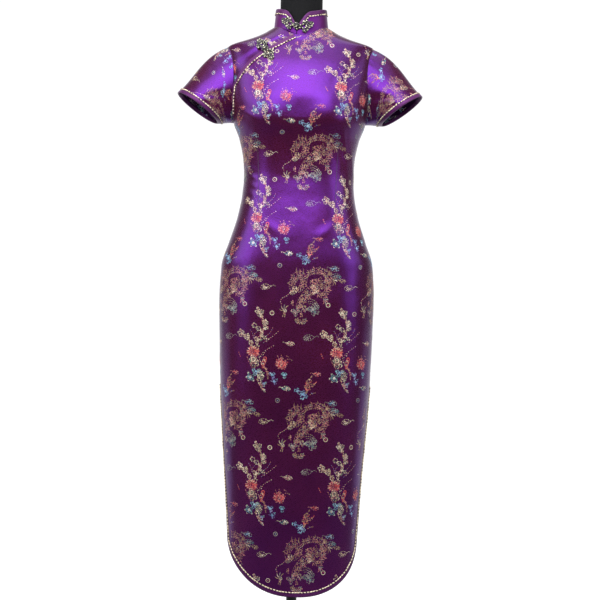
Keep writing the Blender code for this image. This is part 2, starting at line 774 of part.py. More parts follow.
def smooth_loop(points, count):
    """Closed curve through the points, cut into equal steps."""
    points = np.asarray(points)
    before, after, far = (np.roll(points, k, axis=0) for k in (1, -1, -2))
    t = np.linspace(0, 1, 24, endpoint=False)[:, None, None]
    pull = (after - before) * t + (2 * before - 5 * points + 4 * after - far) * t**2
    fine = points + 0.5 * (pull + (3 * points - before - 3 * after + far) * t**3)
    fine = fine.transpose(1, 0, 2).reshape(-1, 2)
    fine = np.concatenate([fine, fine[:1]])
    run = np.concatenate([[0], np.cumsum(np.linalg.norm(np.diff(fine, axis=0), axis=1))])
    at = np.linspace(0, run[-1], count, endpoint=False)
    return np.stack([np.interp(at, run, fine[:, k]) for k in (0, 1)], axis=-1)


def closure_line(reach, has_loop):
    """Outline of one half of a closure: a three-leaved knot, and a stem to the button at (reach, 0)."""
    half = []
    if has_loop:
        loop = KNOT_RADIUS + CORD_RADIUS + SEAM_GAP
        for a in (0, 45, 95):
            turn = math.radians(a)
            half.append((reach + loop * math.cos(turn), loop * math.sin(turn)))
        half.append((reach - loop * 0.9, loop * 0.55))
    else:
        half.append((reach - KNOT_RADIUS - CORD_RADIUS - SEAM_GAP, 0.0))
        half.append((reach - KNOT_RADIUS - CORD_RADIUS * 2.2, 0.0021))
    half += [(CLOVER_RADIUS * 1.2, 0.0024), (CLOVER_RADIUS * 0.93, 0.0040)]
    for a in range(36, 181, 12):
        turn = math.radians(a)
        radius = CLOVER_RADIUS - CLOVER_WAVE * math.cos(3 * turn)
        half.append((radius * math.cos(turn), radius * math.sin(turn)))
    other = [(x, -y) for x, y in reversed(half[1:-1])]
    return smooth_loop(half + other, CORD_POINTS)


def add_half_closure(name, place, reach, has_loop, far_lift, look):
    """Half a closure. place turns a spot (towards the button, across) into a skin point and its normal.
    Its cord runs over the bindings near the button, and lies at far_lift beyond them."""
    over = SEAM_GAP * 2 + PIPING_RADIUS * 2 + CORD_RADIUS
    points, normals = [], []
    for along, across in closure_line(reach, has_loop):
        foot, away = place(along - reach, across)
        distance = reach - along
        share = min(1.0, max(0.0, (distance - 0.0125) / 0.005))
        lift = over + (far_lift - over) * share
        if not has_loop:
            lift += (CORD_RADIUS * 2 + SEAM_GAP) * min(1.0, max(0.0, (0.0125 - distance) / 0.003))
        points.append(foot + away * lift)
        normals.append(away)
    tube(name, np.array(points), np.array(normals), CORD_RADIUS, CORD_SIDES, look, closed=True)


def add_button(name, place, look):
    foot, away = place(0.0, 0.0)
    centre = foot + away * (SEAM_GAP * 2 + PIPING_RADIUS * 2 + CORD_RADIUS * 2.6)
    shape = bmesh.new()
    bmesh.ops.create_icosphere(shape, subdivisions=2, radius=KNOT_RADIUS)
    mesh = bpy.data.meshes.new(name)
    shape.to_mesh(mesh)
    shape.free()
    mesh.shade_smooth()
    mesh.materials.append(look)
    made = bpy.data.objects.new(name, mesh)
    made.location = tuple(centre)
    bpy.context.scene.collection.objects.link(made)


def add_closures(look):
    """One knotted closure at the collar and one on the overlap, each of two halves and a button."""
    over = SEAM_GAP * 2 + PIPING_RADIUS * 2 + CORD_RADIUS
    soft = SEAM_GAP + CORD_RADIUS

    def on_band(direction):
        def place(along, across):
            turn = opening_turn() - direction * along / NECK_HALF_WIDTH
            height = COLLAR_FROG_HEIGHT + across
            foot = np.array(collar_point(turn, height, 0))
            return foot, np.array([math.sin(turn), -math.cos(turn), 0.0])

        return place

    add_half_closure("closure_collar_right", on_band(1), COLLAR_FROG_REACH, True, over, look)
    add_half_closure("closure_collar_left", on_band(-1), COLLAR_FROG_REACH, False, over, look)
    add_button("button_collar", on_band(1), look)

    middle, above = (
        settle(skin(turn_of(overlap_x(z), z), z, FRONT)) for z in (OVERLAP_FROG_Z, OVERLAP_FROG_Z + 0.01)
    )
    away = outward(middle)
    along_edge = (above - middle) / np.linalg.norm(above - middle)
    onto_front = np.cross(along_edge, away)
    onto_front *= math.copysign(1.0, onto_front[0])

    def on_front(direction):
        def place(along, across):
            spot = middle - onto_front * direction * along + along_edge * across
            foot = settle(spot)
            return foot, outward(foot)

        return place

    under = soft - CLOTH - UNDERLAP_GAP
    add_half_closure("closure_overlap_front", on_front(1), OVERLAP_FROG_REACH, True, soft, look)
    add_half_closure("closure_overlap_under", on_front(-1), OVERLAP_FROG_REACH, False, under, look)
    add_button("button_overlap", on_front(1), look)


def add_form(jersey, cap, steel):
    """Dress form with a whole smooth torso, a neck and its cap, on a pole and a round base."""
    rings = []
    for z in [FORM_BOTTOM_Z] + [z for z in panel_heights() if FORM_BOTTOM_Z + 0.008 < z < 1.425]:
        half = spread_turns(-math.pi / 2, math.pi / 2, (z, z), FORM_COLUMNS + 1, FRONT)
        behind = spread_turns(math.pi / 2, -math.pi / 2, (z, z), FORM_COLUMNS + 1, BACK)
        points = np.concatenate([skin(half[:-1], z, FRONT), skin(behind[:-1], z, BACK)])
        share = np.clip((0.045 - points[:, 1]) / 0.04, 0, 1)
        inset = FORM_INSET_BACK + (FORM_INSET_FRONT - FORM_INSET_BACK) * share
        rings.append(points - outward(points) * inset[:, None])
    rings[0] = rings[1] * np.array([0.975, 0.965, 0]) + np.array([0, 0, FORM_BOTTOM_Z])
    for radius, z in FORM_NECK:
        flat = rings[-1][:, :2] / np.linalg.norm(rings[-1][:, :2], axis=1, keepdims=True)
        rings.append(np.concatenate([flat * radius, np.full((len(flat), 1), z)], axis=1))
    grid = np.array(rings)
    count = grid.shape[1]
    faces = [list(range(count))[::-1], [(len(rings) - 1) * count + k for k in range(count)]]
    for r in range(len(rings) - 1):
        for k in range(count):
            faces += [[a * count + b for a, b in half] for half in halves(grid, r, k, count)]
    mesh_object("form_torso", grid.reshape(-1, 3), faces, jersey)

    low = FORM_NECK_TOP_Z + SEAM_GAP
    rim = FORM_NECK_RADIUS
    turned(
        "form_neck_cap",
        [(rim, low), (rim, low + CAP_THICKNESS * 0.7), (rim * 0.94, low + CAP_THICKNESS)],
        cap,
    )
    top = FORM_BOTTOM_Z - SEAM_GAP
    turned(
        "form_flange",
        [
            (SOCKET_RADIUS, SOCKET_BOTTOM_Z),
            (SOCKET_RADIUS, top - FLANGE_THICKNESS),
            (FLANGE_RADIUS, top - FLANGE_THICKNESS * 0.8),
            (FLANGE_RADIUS, top),
        ],
        steel,
    )
    turned(
        "stand_pole",
        [(POLE_RADIUS, HUB_TOP_Z + SEAM_GAP), (POLE_RADIUS, SOCKET_BOTTOM_Z - SEAM_GAP)],
        steel,
        sides=20,
    )
    turned(
        "stand_base",
        [
            (BASE_RADIUS - 0.002, 0.0),
            (BASE_RADIUS, 0.002),
            (BASE_RADIUS, BASE_THICKNESS - 0.003),
            (BASE_RADIUS - 0.004, BASE_THICKNESS),
            (HUB_RADIUS + 0.006, BASE_THICKNESS + 0.004),
            (HUB_RADIUS, BASE_THICKNESS + 0.010),
            (HUB_RADIUS - 0.003, HUB_TOP_Z),
        ],
        steel,
        sides=40,
    )


def main():
    for old in list(bpy.data.objects):
        bpy.data.objects.remove(old)
    satin = material("purple_brocade_satin", (0.13, 0.012, 0.16), 0.32)
    bias = material("purple_satin_binding", (0.16, 0.02, 0.18), 0.35)
    gold = material("gold_cord", (0.80, 0.62, 0.30), 0.35, 0.6)
    knot = material("black_and_gold_cord", (0.06, 0.05, 0.03), 0.45)
    jersey = material("black_jersey", (0.012, 0.012, 0.014), 0.9)
    cap = material("black_cap", (0.015, 0.015, 0.015), 0.4)
    steel = material("stand_steel", (0.03, 0.03, 0.032), 0.4, 0.6)
    add_panels(satin, bias, gold)
    add_sleeves(satin, bias, gold)
    add_collar(satin, bias, gold)
    add_closures(knot)
    add_form(jersey, cap, steel)


main()
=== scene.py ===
"""Cheongsam dress on its form as it is seen: brocade satin, bindings, cords, knots, stand and studio."""

import math

import bpy
import numpy as np
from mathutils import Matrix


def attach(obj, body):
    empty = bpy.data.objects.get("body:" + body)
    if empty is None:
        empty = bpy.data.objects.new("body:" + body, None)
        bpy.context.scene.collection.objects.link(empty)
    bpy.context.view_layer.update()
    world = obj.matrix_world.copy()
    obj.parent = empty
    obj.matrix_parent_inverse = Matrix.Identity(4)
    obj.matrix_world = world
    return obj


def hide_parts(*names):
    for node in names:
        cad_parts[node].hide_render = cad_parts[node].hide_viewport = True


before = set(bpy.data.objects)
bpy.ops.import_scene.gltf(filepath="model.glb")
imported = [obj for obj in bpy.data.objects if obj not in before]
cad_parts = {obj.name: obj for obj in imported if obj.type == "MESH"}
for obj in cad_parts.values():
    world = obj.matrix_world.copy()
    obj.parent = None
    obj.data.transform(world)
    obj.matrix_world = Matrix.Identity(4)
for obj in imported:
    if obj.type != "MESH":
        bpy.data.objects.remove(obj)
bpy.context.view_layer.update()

# Sizes shared with the part, in metres
CLOTH = 0.0012
SEAM_GAP = 0.0003
UNDERLAP_DROP = CLOTH + 0.0011
UNDERLAP_WIDTH = 0.014
HEM_Z = 0.100
HEM_CORNER_Z = 0.228
SLIT_TOP_Z = 0.585
UNDERARM_Z = 1.213
SHOULDER_Z = 1.393
NECK_FRONT_Z = 1.4135
NECK_TOP_Z = 1.4396
ARMHOLE_FRONT = 0.048
ARMHOLE_BACK = 0.050
NECK_HALF_WIDTH = 0.0665
NECK_FRONT = 0.064
NECK_BACK = 0.058
OPENING_X = -0.0105
SLIT_SPREAD = math.radians(11)
HEM_SQUARE_RIGHT_SIDE = 2.0
HEM_SQUARE_LEFT_SIDE = 2.5
BINDING = 0.0090
FRONT = -1
BACK = 1

SECTION_COLUMNS = ("z", "half_width", "front", "back", "squareness")
SECTIONS = np.array(
    (
        (0.085, 0.1510, 0.086, 0.074, 2.20),
        (0.225, 0.1560, 0.091, 0.082, 2.25),
        (0.350, 0.1630, 0.096, 0.092, 2.30),
        (0.480, 0.1715, 0.102, 0.102, 2.35),
        (0.587, 0.1780, 0.107, 0.110, 2.40),
        (0.700, 0.1820, 0.112, 0.118, 2.40),
        (0.790, 0.1840, 0.115, 0.121, 2.40),
        (0.870, 0.1800, 0.114, 0.118, 2.40),
        (0.930, 0.1620, 0.110, 0.108, 2.35),
        (0.990, 0.1430, 0.103, 0.094, 2.30),
        (1.040, 0.1335, 0.097, 0.084, 2.30),
        (1.084, 0.1300, 0.094, 0.080, 2.30),
        (1.130, 0.1330, 0.098, 0.084, 2.35),
        (1.170, 0.1415, 0.106, 0.092, 2.40),
        (1.213, 0.1570, 0.117, 0.101, 2.45),
        (1.255, 0.1645, 0.117, 0.105, 2.45),
        (1.300, 0.1680, 0.109, 0.103, 2.38),
        (1.345, 0.1725, 0.095, 0.095, 2.24),
        (1.370, 0.1750, 0.0835, 0.0865, 2.12),
        (1.384, 0.1755, 0.0765, 0.0805, 2.06),
        (1.393, 0.1740, 0.0720, 0.0765, 2.02),
        (1.399, 0.1640, 0.0692, 0.0738, 2.00),
        (1.406, 0.1420, 0.0666, 0.0710, 2.00),
        (1.4135, 0.1180, 0.0640, 0.0680, 2.00),
        (1.424, 0.0930, 0.0600, 0.0640, 2.00),
        (1.434, 0.0760, 0.0560, 0.0603, 2.00),
        (1.440, 0.0665, 0.0540, 0.0580, 2.00),
        (1.452, 0.0520, 0.0500, 0.0500, 2.00),
    )
)
OVERLAP = np.array(
    (
        (1.2130, -0.1720),
        (1.2700, -0.1680),
        (1.2970, -0.1560),
        (1.3150, -0.1450),
        (1.3360, -0.1310),
        (1.3540, -0.1130),
        (1.3700, -0.0913),
        (1.3820, -0.0720),
        (1.3950, -0.0505),
        (1.4050, -0.0335),
        (1.4135, -0.0175),
    )
)


BUST_X = 0.078
BUST_Z = 1.222
BUST_SWELL = 0.011
BUST_HALF_WIDTH = 0.045
BUST_HALF_HEIGHT = 0.048
ARMHOLE_MIDDLE = (UNDERARM_Z + SHOULDER_Z) / 2
ARMHOLE_HALF = (SHOULDER_Z - UNDERARM_Z) / 2
BISECTIONS = 40
HEM_REACH = 0.11  # from the body's middle to the skirt's front, about

# The figure's skin
def monotone(places, values):
    """A curve through the points that has no bumps between them."""
    steps = np.diff(places)
    rises = np.diff(values) / steps
    slopes = np.concatenate([[rises[0]], np.zeros(len(places) - 2), [rises[-1]]])
    for i in range(1, len(places) - 1):
        if rises[i - 1] * rises[i] > 0:
            near, far = 2 * steps[i] + steps[i - 1], steps[i] + 2 * steps[i - 1]
            slopes[i] = (near + far) / (near / rises[i - 1] + far / rises[i])
    return places, values, slopes


def read(found, at):
    places, values, slopes = found
    at = np.clip(at, places[0], places[-1])
    i = np.clip(np.searchsorted(places, at) - 1, 0, len(places) - 2)
    step = places[i + 1] - places[i]
    t = (at - places[i]) / step
    start = (1 + 2 * t) * (1 - t) ** 2 * values[i] + t * (1 - t) ** 2 * step * slopes[i]
    return start + t * t * (3 - 2 * t) * values[i + 1] - t * t * (1 - t) * step * slopes[i + 1]


FINE_Z = np.linspace(SECTIONS[0, 0], SECTIONS[-1, 0], 6000)
FINE = {
    name: read(monotone(SECTIONS[:, 0], SECTIONS[:, k]), FINE_Z)
    for k, name in enumerate(SECTION_COLUMNS)
    if k
}
OVERLAP_CURVE = monotone(OVERLAP[:, 0], OVERLAP[:, 1])


def section(name, z):
    return np.interp(z, FINE_Z, FINE[name])


def overlap_x(z):
    return read(OVERLAP_CURVE, z)


def front_depth(x, z):
    beside, above = (np.abs(x) - BUST_X) / BUST_HALF_WIDTH, (z - BUST_Z) / BUST_HALF_HEIGHT
    return section("front", z) + BUST_SWELL * np.exp(-(beside**2) - above**2)


def skin(turn, z, side):
    """Points of the outer skin. turn runs from -pi/2 at the wearer's right seam to pi/2 at the left."""
    turn, z = np.broadcast_arrays(np.asarray(turn, float), np.asarray(z, float))
    power = section("squareness", z)
    share = np.sin(turn)
    x = section("half_width", z) * share
    reach = np.maximum(1 - np.abs(share) ** power, 0) ** (1 / power)
    deep = front_depth(x, z) if side == FRONT else section("back", z)
    return np.stack([x, side * (deep * reach + SEAM_GAP / 2), z], axis=-1)


def field(points):
    x, y, z = points[..., 0], points[..., 1], points[..., 2]
    power = section("squareness", z)
    reach = np.where(y < 0, front_depth(x, z), section("back", z))
    inner_y = np.maximum(np.abs(y) - SEAM_GAP / 2, 0)
    return (np.abs(x) / section("half_width", z)) ** power + (inner_y / reach) ** power - 1


def slope(points):
    found = []
    for axis in range(3):
        step = np.zeros(3)
        step[axis] = 2e-4
        found.append((field(points + step) - field(points - step)) / 4e-4)
    return np.stack(found, axis=-1)


def outward(points):
    found = slope(np.asarray(points, float))
    return found / np.maximum(np.linalg.norm(found, axis=-1, keepdims=True), 1e-9)


def settle(points):
    points = np.array(points, float)
    for _ in range(5):
        steep = slope(points)
        points = points - steep * (field(points) / np.maximum((steep**2).sum(-1), 1e-9))[..., None]
    return points


def distances(points):
    """Distance of each point of a line from its start."""
    return np.concatenate([[0], np.cumsum(np.linalg.norm(np.diff(points, axis=0), axis=1))])


def turn_of(x, z):
    return np.arcsin(np.clip(x / section("half_width", z), -1, 1))


def armhole_reach(z, side):
    reach = ARMHOLE_FRONT if side == FRONT else ARMHOLE_BACK
    return reach * np.sqrt(np.maximum(0.0, 1 - ((z - ARMHOLE_MIDDLE) / ARMHOLE_HALF) ** 2))


def side_x(y, z):
    y, z = np.broadcast_arrays(np.asarray(y, float), np.asarray(z, float))
    power, wide = section("squareness", z), section("half_width", z)
    x = wide
    for _ in range(4):
        reach = np.where(y < 0, front_depth(x, z), section("back", z))
        x = wide * np.maximum(1 - (np.abs(y) / reach) ** power, 0) ** (1 / power)
    return x


def hem_turn(z, square, inset=0.0):
    """Edge of a skirt flap: the slit's edge, rounded into the hem, or a line inset from it."""
    spread = SLIT_SPREAD * np.clip((SLIT_TOP_Z - z) / (SLIT_TOP_Z - HEM_CORNER_Z), 0, 1)
    edge = math.pi / 2 - spread
    drop = np.clip((HEM_CORNER_Z - z) / (HEM_CORNER_Z - HEM_Z - inset), 0, 1)
    share = np.maximum(0.0, 1 - drop**square) ** (1 / square)
    wide = section("half_width", z)
    return np.arcsin(np.clip(share * (np.sin(edge) - inset * 0.5 / wide), -1, 1)) - inset / HEM_REACH


def bisect(low, high, is_inside):
    """Last place inside and first place outside, between low, which is inside, and high, which isn't."""
    for _ in range(BISECTIONS):
        middle = (low + high) / 2
        inside = is_inside(middle)
        low, high = np.where(inside, middle, low), np.where(inside, high, middle)
    return low, high


def neck_turn(z, side):
    front = NECK_FRONT if side == FRONT else NECK_BACK

    def over_neck(turn):
        p = skin(turn, z, side)
        return (p[..., 0] / NECK_HALF_WIDTH) ** 2 + (p[..., 1] / front) ** 2 < 1

    return bisect(np.zeros_like(z), np.full_like(z, math.pi / 2), over_neck)[1]


def side_edge(z, side, square):
    z = np.asarray(z, float)
    edge = np.where(z < SLIT_TOP_Z, hem_turn(z, square), math.pi / 2)
    at_arm = (z > UNDERARM_Z) & (z < SHOULDER_Z)
    return np.where(at_arm, turn_of(side_x(side * armhole_reach(z, side), z), z), edge)


OVERLAP_BOUND_Z = 1.232  # where the overlap's binding ends, beside the armhole


def bound_x(z):
    """The overlap's bound edge, which runs on down beside the armhole."""
    armhole_x = -skin(side_edge(z, FRONT, HEM_SQUARE_RIGHT_SIDE), z, FRONT)[..., 0]
    return np.maximum(overlap_x(z), armhole_x + 0.0006)


def panel_edges(z, which):
    """Turns of a panel's right and left edges at each height."""
    side = BACK if which == "back" else FRONT
    right = -side_edge(z, side, HEM_SQUARE_RIGHT_SIDE)
    left = side_edge(z, side, HEM_SQUARE_LEFT_SIDE)
    if which == "front":
        crossed = np.maximum(right, turn_of(overlap_x(z), z))
        right = np.where((z > UNDERARM_Z) & (z <= NECK_FRONT_Z), crossed, right)
        right = np.where(z > NECK_FRONT_Z, neck_turn(z, FRONT), right)
    if which == "underlap":
        inner = np.maximum(overlap_x(z), skin(right, z, FRONT)[..., 0]) + UNDERLAP_WIDTH
        left = np.where(z <= NECK_FRONT_Z, turn_of(inner, z), -neck_turn(z, FRONT))
    return right, left


def panel_heights(low):
    drop = (HEM_CORNER_Z - HEM_Z) * np.sin(np.radians(np.linspace(88.5, 0, 26, endpoint=False)))
    z = np.concatenate(
        [
            HEM_CORNER_Z - drop,
            np.linspace(HEM_CORNER_Z, SLIT_TOP_Z, 56, endpoint=False),
            np.linspace(SLIT_TOP_Z, UNDERARM_Z, 112, endpoint=False),
            ARMHOLE_MIDDLE - ARMHOLE_HALF * np.cos(np.linspace(0, math.pi, 40, endpoint=False)),
            np.linspace(SHOULDER_Z, NECK_FRONT_Z, 8, endpoint=False),
            np.linspace(NECK_FRONT_Z, NECK_TOP_Z, 12),
        ]
    )
    return z[z >= low]


# Wear: soft swells, drag lines and puckers of the cloth
# x and z of a crease's two ends, its half width, its height
CREASES = (
    (0.094, 1.215, 0.122, 1.070, 0.0055, 0.0027),
    (0.112, 1.190, 0.134, 1.050, 0.0045, 0.0020),
    (-0.102, 1.195, -0.119, 1.085, 0.0050, 0.0025),
    (0.075, 1.175, 0.108, 1.085, 0.0050, 0.0009),
    (-0.128, 1.110, -0.098, 1.090, 0.0035, 0.0015),
    (-0.126, 1.092, -0.092, 1.066, 0.0037, 0.0017),
    (-0.125, 1.070, -0.088, 1.048, 0.0036, 0.0016),
    (-0.127, 1.049, -0.092, 1.027, 0.0036, 0.0015),
    (-0.130, 1.028, -0.098, 1.006, 0.0035, 0.0012),
    (-0.140, 1.235, -0.095, 1.205, 0.0060, 0.0010),
    (0.146, 1.240, 0.100, 1.205, 0.0060, 0.0010),
    (-0.060, 1.100, 0.020, 1.084, 0.0080, 0.0007),
    (0.110, 1.330, 0.075, 1.270, 0.0070, 0.0009),
    (-0.105, 0.990, -0.030, 0.935, 0.0090, 0.0012),
    (0.110, 0.985, 0.040, 0.930, 0.0090, 0.0012),
    (-0.150, 0.860, -0.060, 0.800, 0.0150, 0.0010),
    (0.150, 0.850, 0.070, 0.770, 0.0150, 0.0010),
    (0.040, 0.760, 0.110, 0.640, 0.0160, 0.0010),
    (-0.040, 0.700, -0.110, 0.580, 0.0160, 0.0010),
)


SKIRT_WAVE = 0.0016
SKIRT_RIPPLE = 0.0007
WEAR = 0.0007  # how far the cloth stands off the skin where it has no crease


def relief(points, side):
    """How far the worn cloth stands off the smooth skin."""
    x, z = points[..., 0], points[..., 2]
    off = WEAR + 0.00022 * np.sin(31 * x + 11 * z + 1.3) * np.sin(19 * z + 2 + side)
    off = off + 0.00014 * np.sin(83 * x - 37 * z + side) * np.sin(47 * z + 13 * x)
    for x0, z0, x1, z1, wide, high in CREASES:
        if side == BACK:
            x0, x1, high = -x0 * 0.96, -x1 * 0.96, high * 0.8
        way = np.array([x1 - x0, z1 - z0])
        long = np.hypot(*way)
        run = ((x - x0) * way[0] + (z - z0) * way[1]) / long**2
        across = ((x - x0) * way[1] - (z - z0) * way[0]) / long
        fade = np.exp(-(((run - 0.5) / 0.36) ** 4))
        crest = np.exp(-((across / wide) ** 2))
        hollow = 0.45 * np.exp(-(((across - 2 * wide) / wide) ** 2))
        off = off + high * fade * (crest - hollow)
    free = np.clip((0.66 - z) / 0.5, 0, 1)
    off = off + free * SKIRT_WAVE * np.sin(24 * x + 2.2 * z + 0.6 * side)
    return off + free * SKIRT_RIPPLE * np.sin(57 * x - 5 * z)


def underlap_drop(points):
    """How far the small right front lies under the skin: only near the overlap that covers its edge."""
    over = points[..., 0] - overlap_x(points[..., 2])
    share = np.clip((over + 0.036) / 0.020, 0, 1)
    return -UNDERLAP_DROP * share * share * (3 - 2 * share)


def lay(points, lift, side):
    """Skin points moved out by lift and by the wear of the cloth there."""
    return points + outward(points) * (lift + relief(points, side))[..., None]


# Meshes
def make(name, points, faces, looks, tints=None, uv=None, sharp=50):
    """An object from points, faces and the number of each face's look."""
    mesh = bpy.data.meshes.new(name)
    mesh.from_pydata(np.asarray(points, float).tolist(), [], [list(map(int, f)) for f in faces])
    for look in looks:
        mesh.materials.append(look)
    if tints is not None:
        mesh.polygons.foreach_set("material_index", np.asarray(tints, np.int32))
    if uv is not None:
        corners = np.empty(len(mesh.loops), np.int32)
        mesh.loops.foreach_get("vertex_index", corners)
        mesh.uv_layers.new(name="threads").data.foreach_set("uv", np.asarray(uv, float)[corners].ravel())
    mesh.shade_smooth()
    mesh.set_sharp_from_angle(angle=math.radians(sharp))
    made = bpy.data.objects.new(name, mesh)
    bpy.context.scene.collection.objects.link(made)
    return made


def volume(points, faces):
    total = 0.0
    for f in faces:
        f = np.asarray(f)
        for k in range(1, f.shape[1] - 1):
            a, b, c = points[f[:, 0]], points[f[:, k]], points[f[:, k + 1]]
            total += (a * np.cross(b, c)).sum()
    return total


def quads(rows, columns, around=False):
    """Faces of a grid of points, numbered row by row."""
    wide = columns if around else columns - 1
    r, c = np.meshgrid(np.arange(rows - 1), np.arange(wide), indexing="ij")
    after = (c + 1) % columns
    found = [r * columns + c, r * columns + after, (r + 1) * columns + after, (r + 1) * columns + c]
    return np.stack(found, axis=-1).reshape(-1, 4)


def shell(name, outer, inner, looks, around=False):
    """Closed cloth between two grids of points. looks are those of its outside and its inside."""
    rows, columns = outer.shape[:2]
    out = quads(rows, columns, around)
    back = out[:, ::-1] + rows * columns
    if around:
        rims = [np.arange(columns), (rows - 1) * columns + np.arange(columns)[::-1]]
        rims = [np.append(r, r[0]) for r in rims]
    else:
        low, high = np.arange(columns), (rows - 1) * columns + np.arange(columns)
        left, right = np.arange(rows) * columns, np.arange(rows) * columns + columns - 1
        rims = [np.concatenate([low[:-1], right[:-1], high[::-1][:-1], left[::-1]])]
    rim = []
    for r in rims:
        a, b = r[:-1], r[1:]
        rim.append(np.stack([b, a, a + rows * columns, b + rows * columns], axis=-1))
    rim = np.concatenate(rim)
    points = np.concatenate([outer.reshape(-1, 3), inner.reshape(-1, 3)])
    faces = np.concatenate([out, back, rim])
    if volume(points, [faces]) < 0:
        faces = faces[:, ::-1]
    tints = np.concatenate([np.zeros(len(out)), np.ones(len(back) + len(rim))])
    return make(name, points, faces, looks, tints)


def tangents(points, closed):
    if closed:
        found = np.roll(points, -1, axis=0) - np.roll(points, 1, axis=0)
    else:
        found = np.gradient(points, axis=0)
    return found / np.maximum(np.linalg.norm(found, axis=-1, keepdims=True), 1e-12)


def resample(points, step, closed=False, also=()):
    """Points at equal steps along a line, with the values in also read at the same places."""
    line = np.concatenate([points, points[:1]]) if closed else points
    run = distances(line)
    count = max(4, int(round(run[-1] / step)))
    at = np.linspace(0, run[-1], count, endpoint=not closed)
    found = []
    for values in (points, *also):
        values = np.concatenate([values, values[:1]]) if closed else values
        found.append(
            np.stack([np.interp(at, run, values[:, k]) for k in range(values.shape[1])], axis=-1)
        )
    return found if also else found[0]


def loft(name, rings, looks, closed, tints=None, sharp=50):
    """Closed body from rings of points, (ring, point of the ring, xyz), with flat ends unless closed."""
    count, around = rings.shape[:2]
    grid = np.concatenate([rings, rings[:1]]) if closed else rings
    faces = quads(len(grid), around, around=True)
    if closed:
        faces = faces % (count * around)
    points = rings.reshape(-1, 3)
    ends = [] if closed else [np.arange(around)[::-1], (count - 1) * around + np.arange(around)]
    if volume(points, [faces] + [e[None, :] for e in ends]) < 0:
        faces = faces[:, ::-1]
        ends = [e[::-1] for e in ends]
    if tints is not None:
        tints = np.concatenate([np.asarray(tints).ravel(), np.zeros(len(ends))])
    return make(name, points, list(faces) + ends, looks, tints, sharp=sharp)


GROOVE = 0.17  # depth between a cord's strands, as a share of its radius


def rope(
    name, line, normals, radius, looks, closed, beads, step=0.0006, lay_length=0.0060, strands=2, sides=12
):
    """Twisted cord of some strands. The second look is that of beads along it: the metres from bead to
    bead and the share of them that the second look takes."""
    line, normals = resample(line, step, closed, also=(normals,))
    along = tangents(line, closed)
    across = np.cross(along, normals)
    across /= np.maximum(np.linalg.norm(across, axis=-1, keepdims=True), 1e-12)
    up = np.cross(across, along)
    turns = max(1, round(len(line) * step / lay_length))
    twist = 2 * math.pi * turns * np.arange(len(line)) / len(line)
    angle = 2 * math.pi * np.arange(sides) / sides + twist[:, None]
    own = 2 * math.pi * np.arange(sides) / sides
    reach = radius * (1 + GROOVE * np.cos(strands * own)) * np.ones_like(angle)
    around = np.cos(angle)[..., None] * across[:, None] + np.sin(angle)[..., None] * up[:, None]
    rings = line[:, None] + reach[..., None] * around
    rows = len(line) if closed else len(line) - 1
    run = np.arange(rows)[:, None] * step / beads[0] + 0.3 * own / (2 * math.pi)
    tints = (run % 1 < beads[1]).astype(int)
    return loft(name, rings, looks, closed, tints, sharp=80)


# Looks
def node(tree, kind, **values):
    made = tree.nodes.new(kind)
    for name, value in values.items():
        if name in made.bl_rna.properties:
            setattr(made, name, value)
        else:
            made.inputs[name.replace("_", " ")].default_value = value
    return made


def base_look(
    name, colour, roughness, metallic=0.0, level=0.5, tint=(1, 1, 1), sheen=0.0, sheen_tint=(1, 1, 1)
):
    made = bpy.data.materials.new(name)
    made.use_nodes = True
    shader = made.node_tree.nodes["Principled BSDF"]
    values = (
        ("Base Color", (*colour, 1)), ("Roughness", roughness), ("Metallic", metallic),
        ("Specular IOR Level", level), ("Specular Tint", (*tint, 1)),
        ("Sheen Weight", sheen), ("Sheen Roughness", 0.35), ("Sheen Tint", (*sheen_tint, 1)),
    )
    for socket, value in values:
        shader.inputs[socket].default_value = value
    return made, shader


def stretched(tree, scale, use_uv=False):
    """Coordinates of the surface, stretched along each axis."""
    if use_uv:
        where = node(tree, "ShaderNodeUVMap", uv_map="threads").outputs["UV"]
    else:
        where = node(tree, "ShaderNodeNewGeometry").outputs["Position"]
    mapped = node(tree, "ShaderNodeMapping")
    mapped.inputs["Scale"].default_value = scale
    tree.links.new(where, mapped.inputs["Vector"])
    return mapped.outputs["Vector"]


def noise(tree, scale, detail=3.0, use_uv=False, rough=0.55):
    made = node(tree, "ShaderNodeTexNoise", Scale=1.0, Detail=detail, Roughness=rough)
    tree.links.new(stretched(tree, scale, use_uv), made.inputs["Vector"])
    return made.outputs["Fac"]


def ramp(tree, factor, stops):
    made = node(tree, "ShaderNodeValToRGB")
    points = made.color_ramp.elements
    for k, (at, colour) in enumerate(stops):
        point = points[k] if k < 2 else points.new(at)
        point.position = at
        point.color = (*colour, 1)
    tree.links.new(factor, made.inputs["Fac"])
    return made.outputs["Color"]


def bump(tree, shader, heights):
    """Bumps one over another, each a height source, its strength and its distance in metres."""
    normal = None
    for height, strength, distance in heights:
        made = node(tree, "ShaderNodeBump", Strength=strength, Distance=distance)
        tree.links.new(height, made.inputs["Height"])
        if normal is not None:
            tree.links.new(normal, made.inputs["Normal"])
        normal = made.outputs["Normal"]
    tree.links.new(normal, shader.inputs["Normal"])


def uneven_shine(tree, shader, roughness, grain, rougher):
    """Roughness that varies with a grain, from a little under the look's own to a step over it."""
    low, high = roughness - 0.05, roughness + rougher
    spread = node(tree, "ShaderNodeMapRange", From_Min=0.3, From_Max=0.7, To_Min=low, To_Max=high)
    tree.links.new(grain, spread.inputs["Value"])
    tree.links.new(spread.outputs["Result"], shader.inputs["Roughness"])


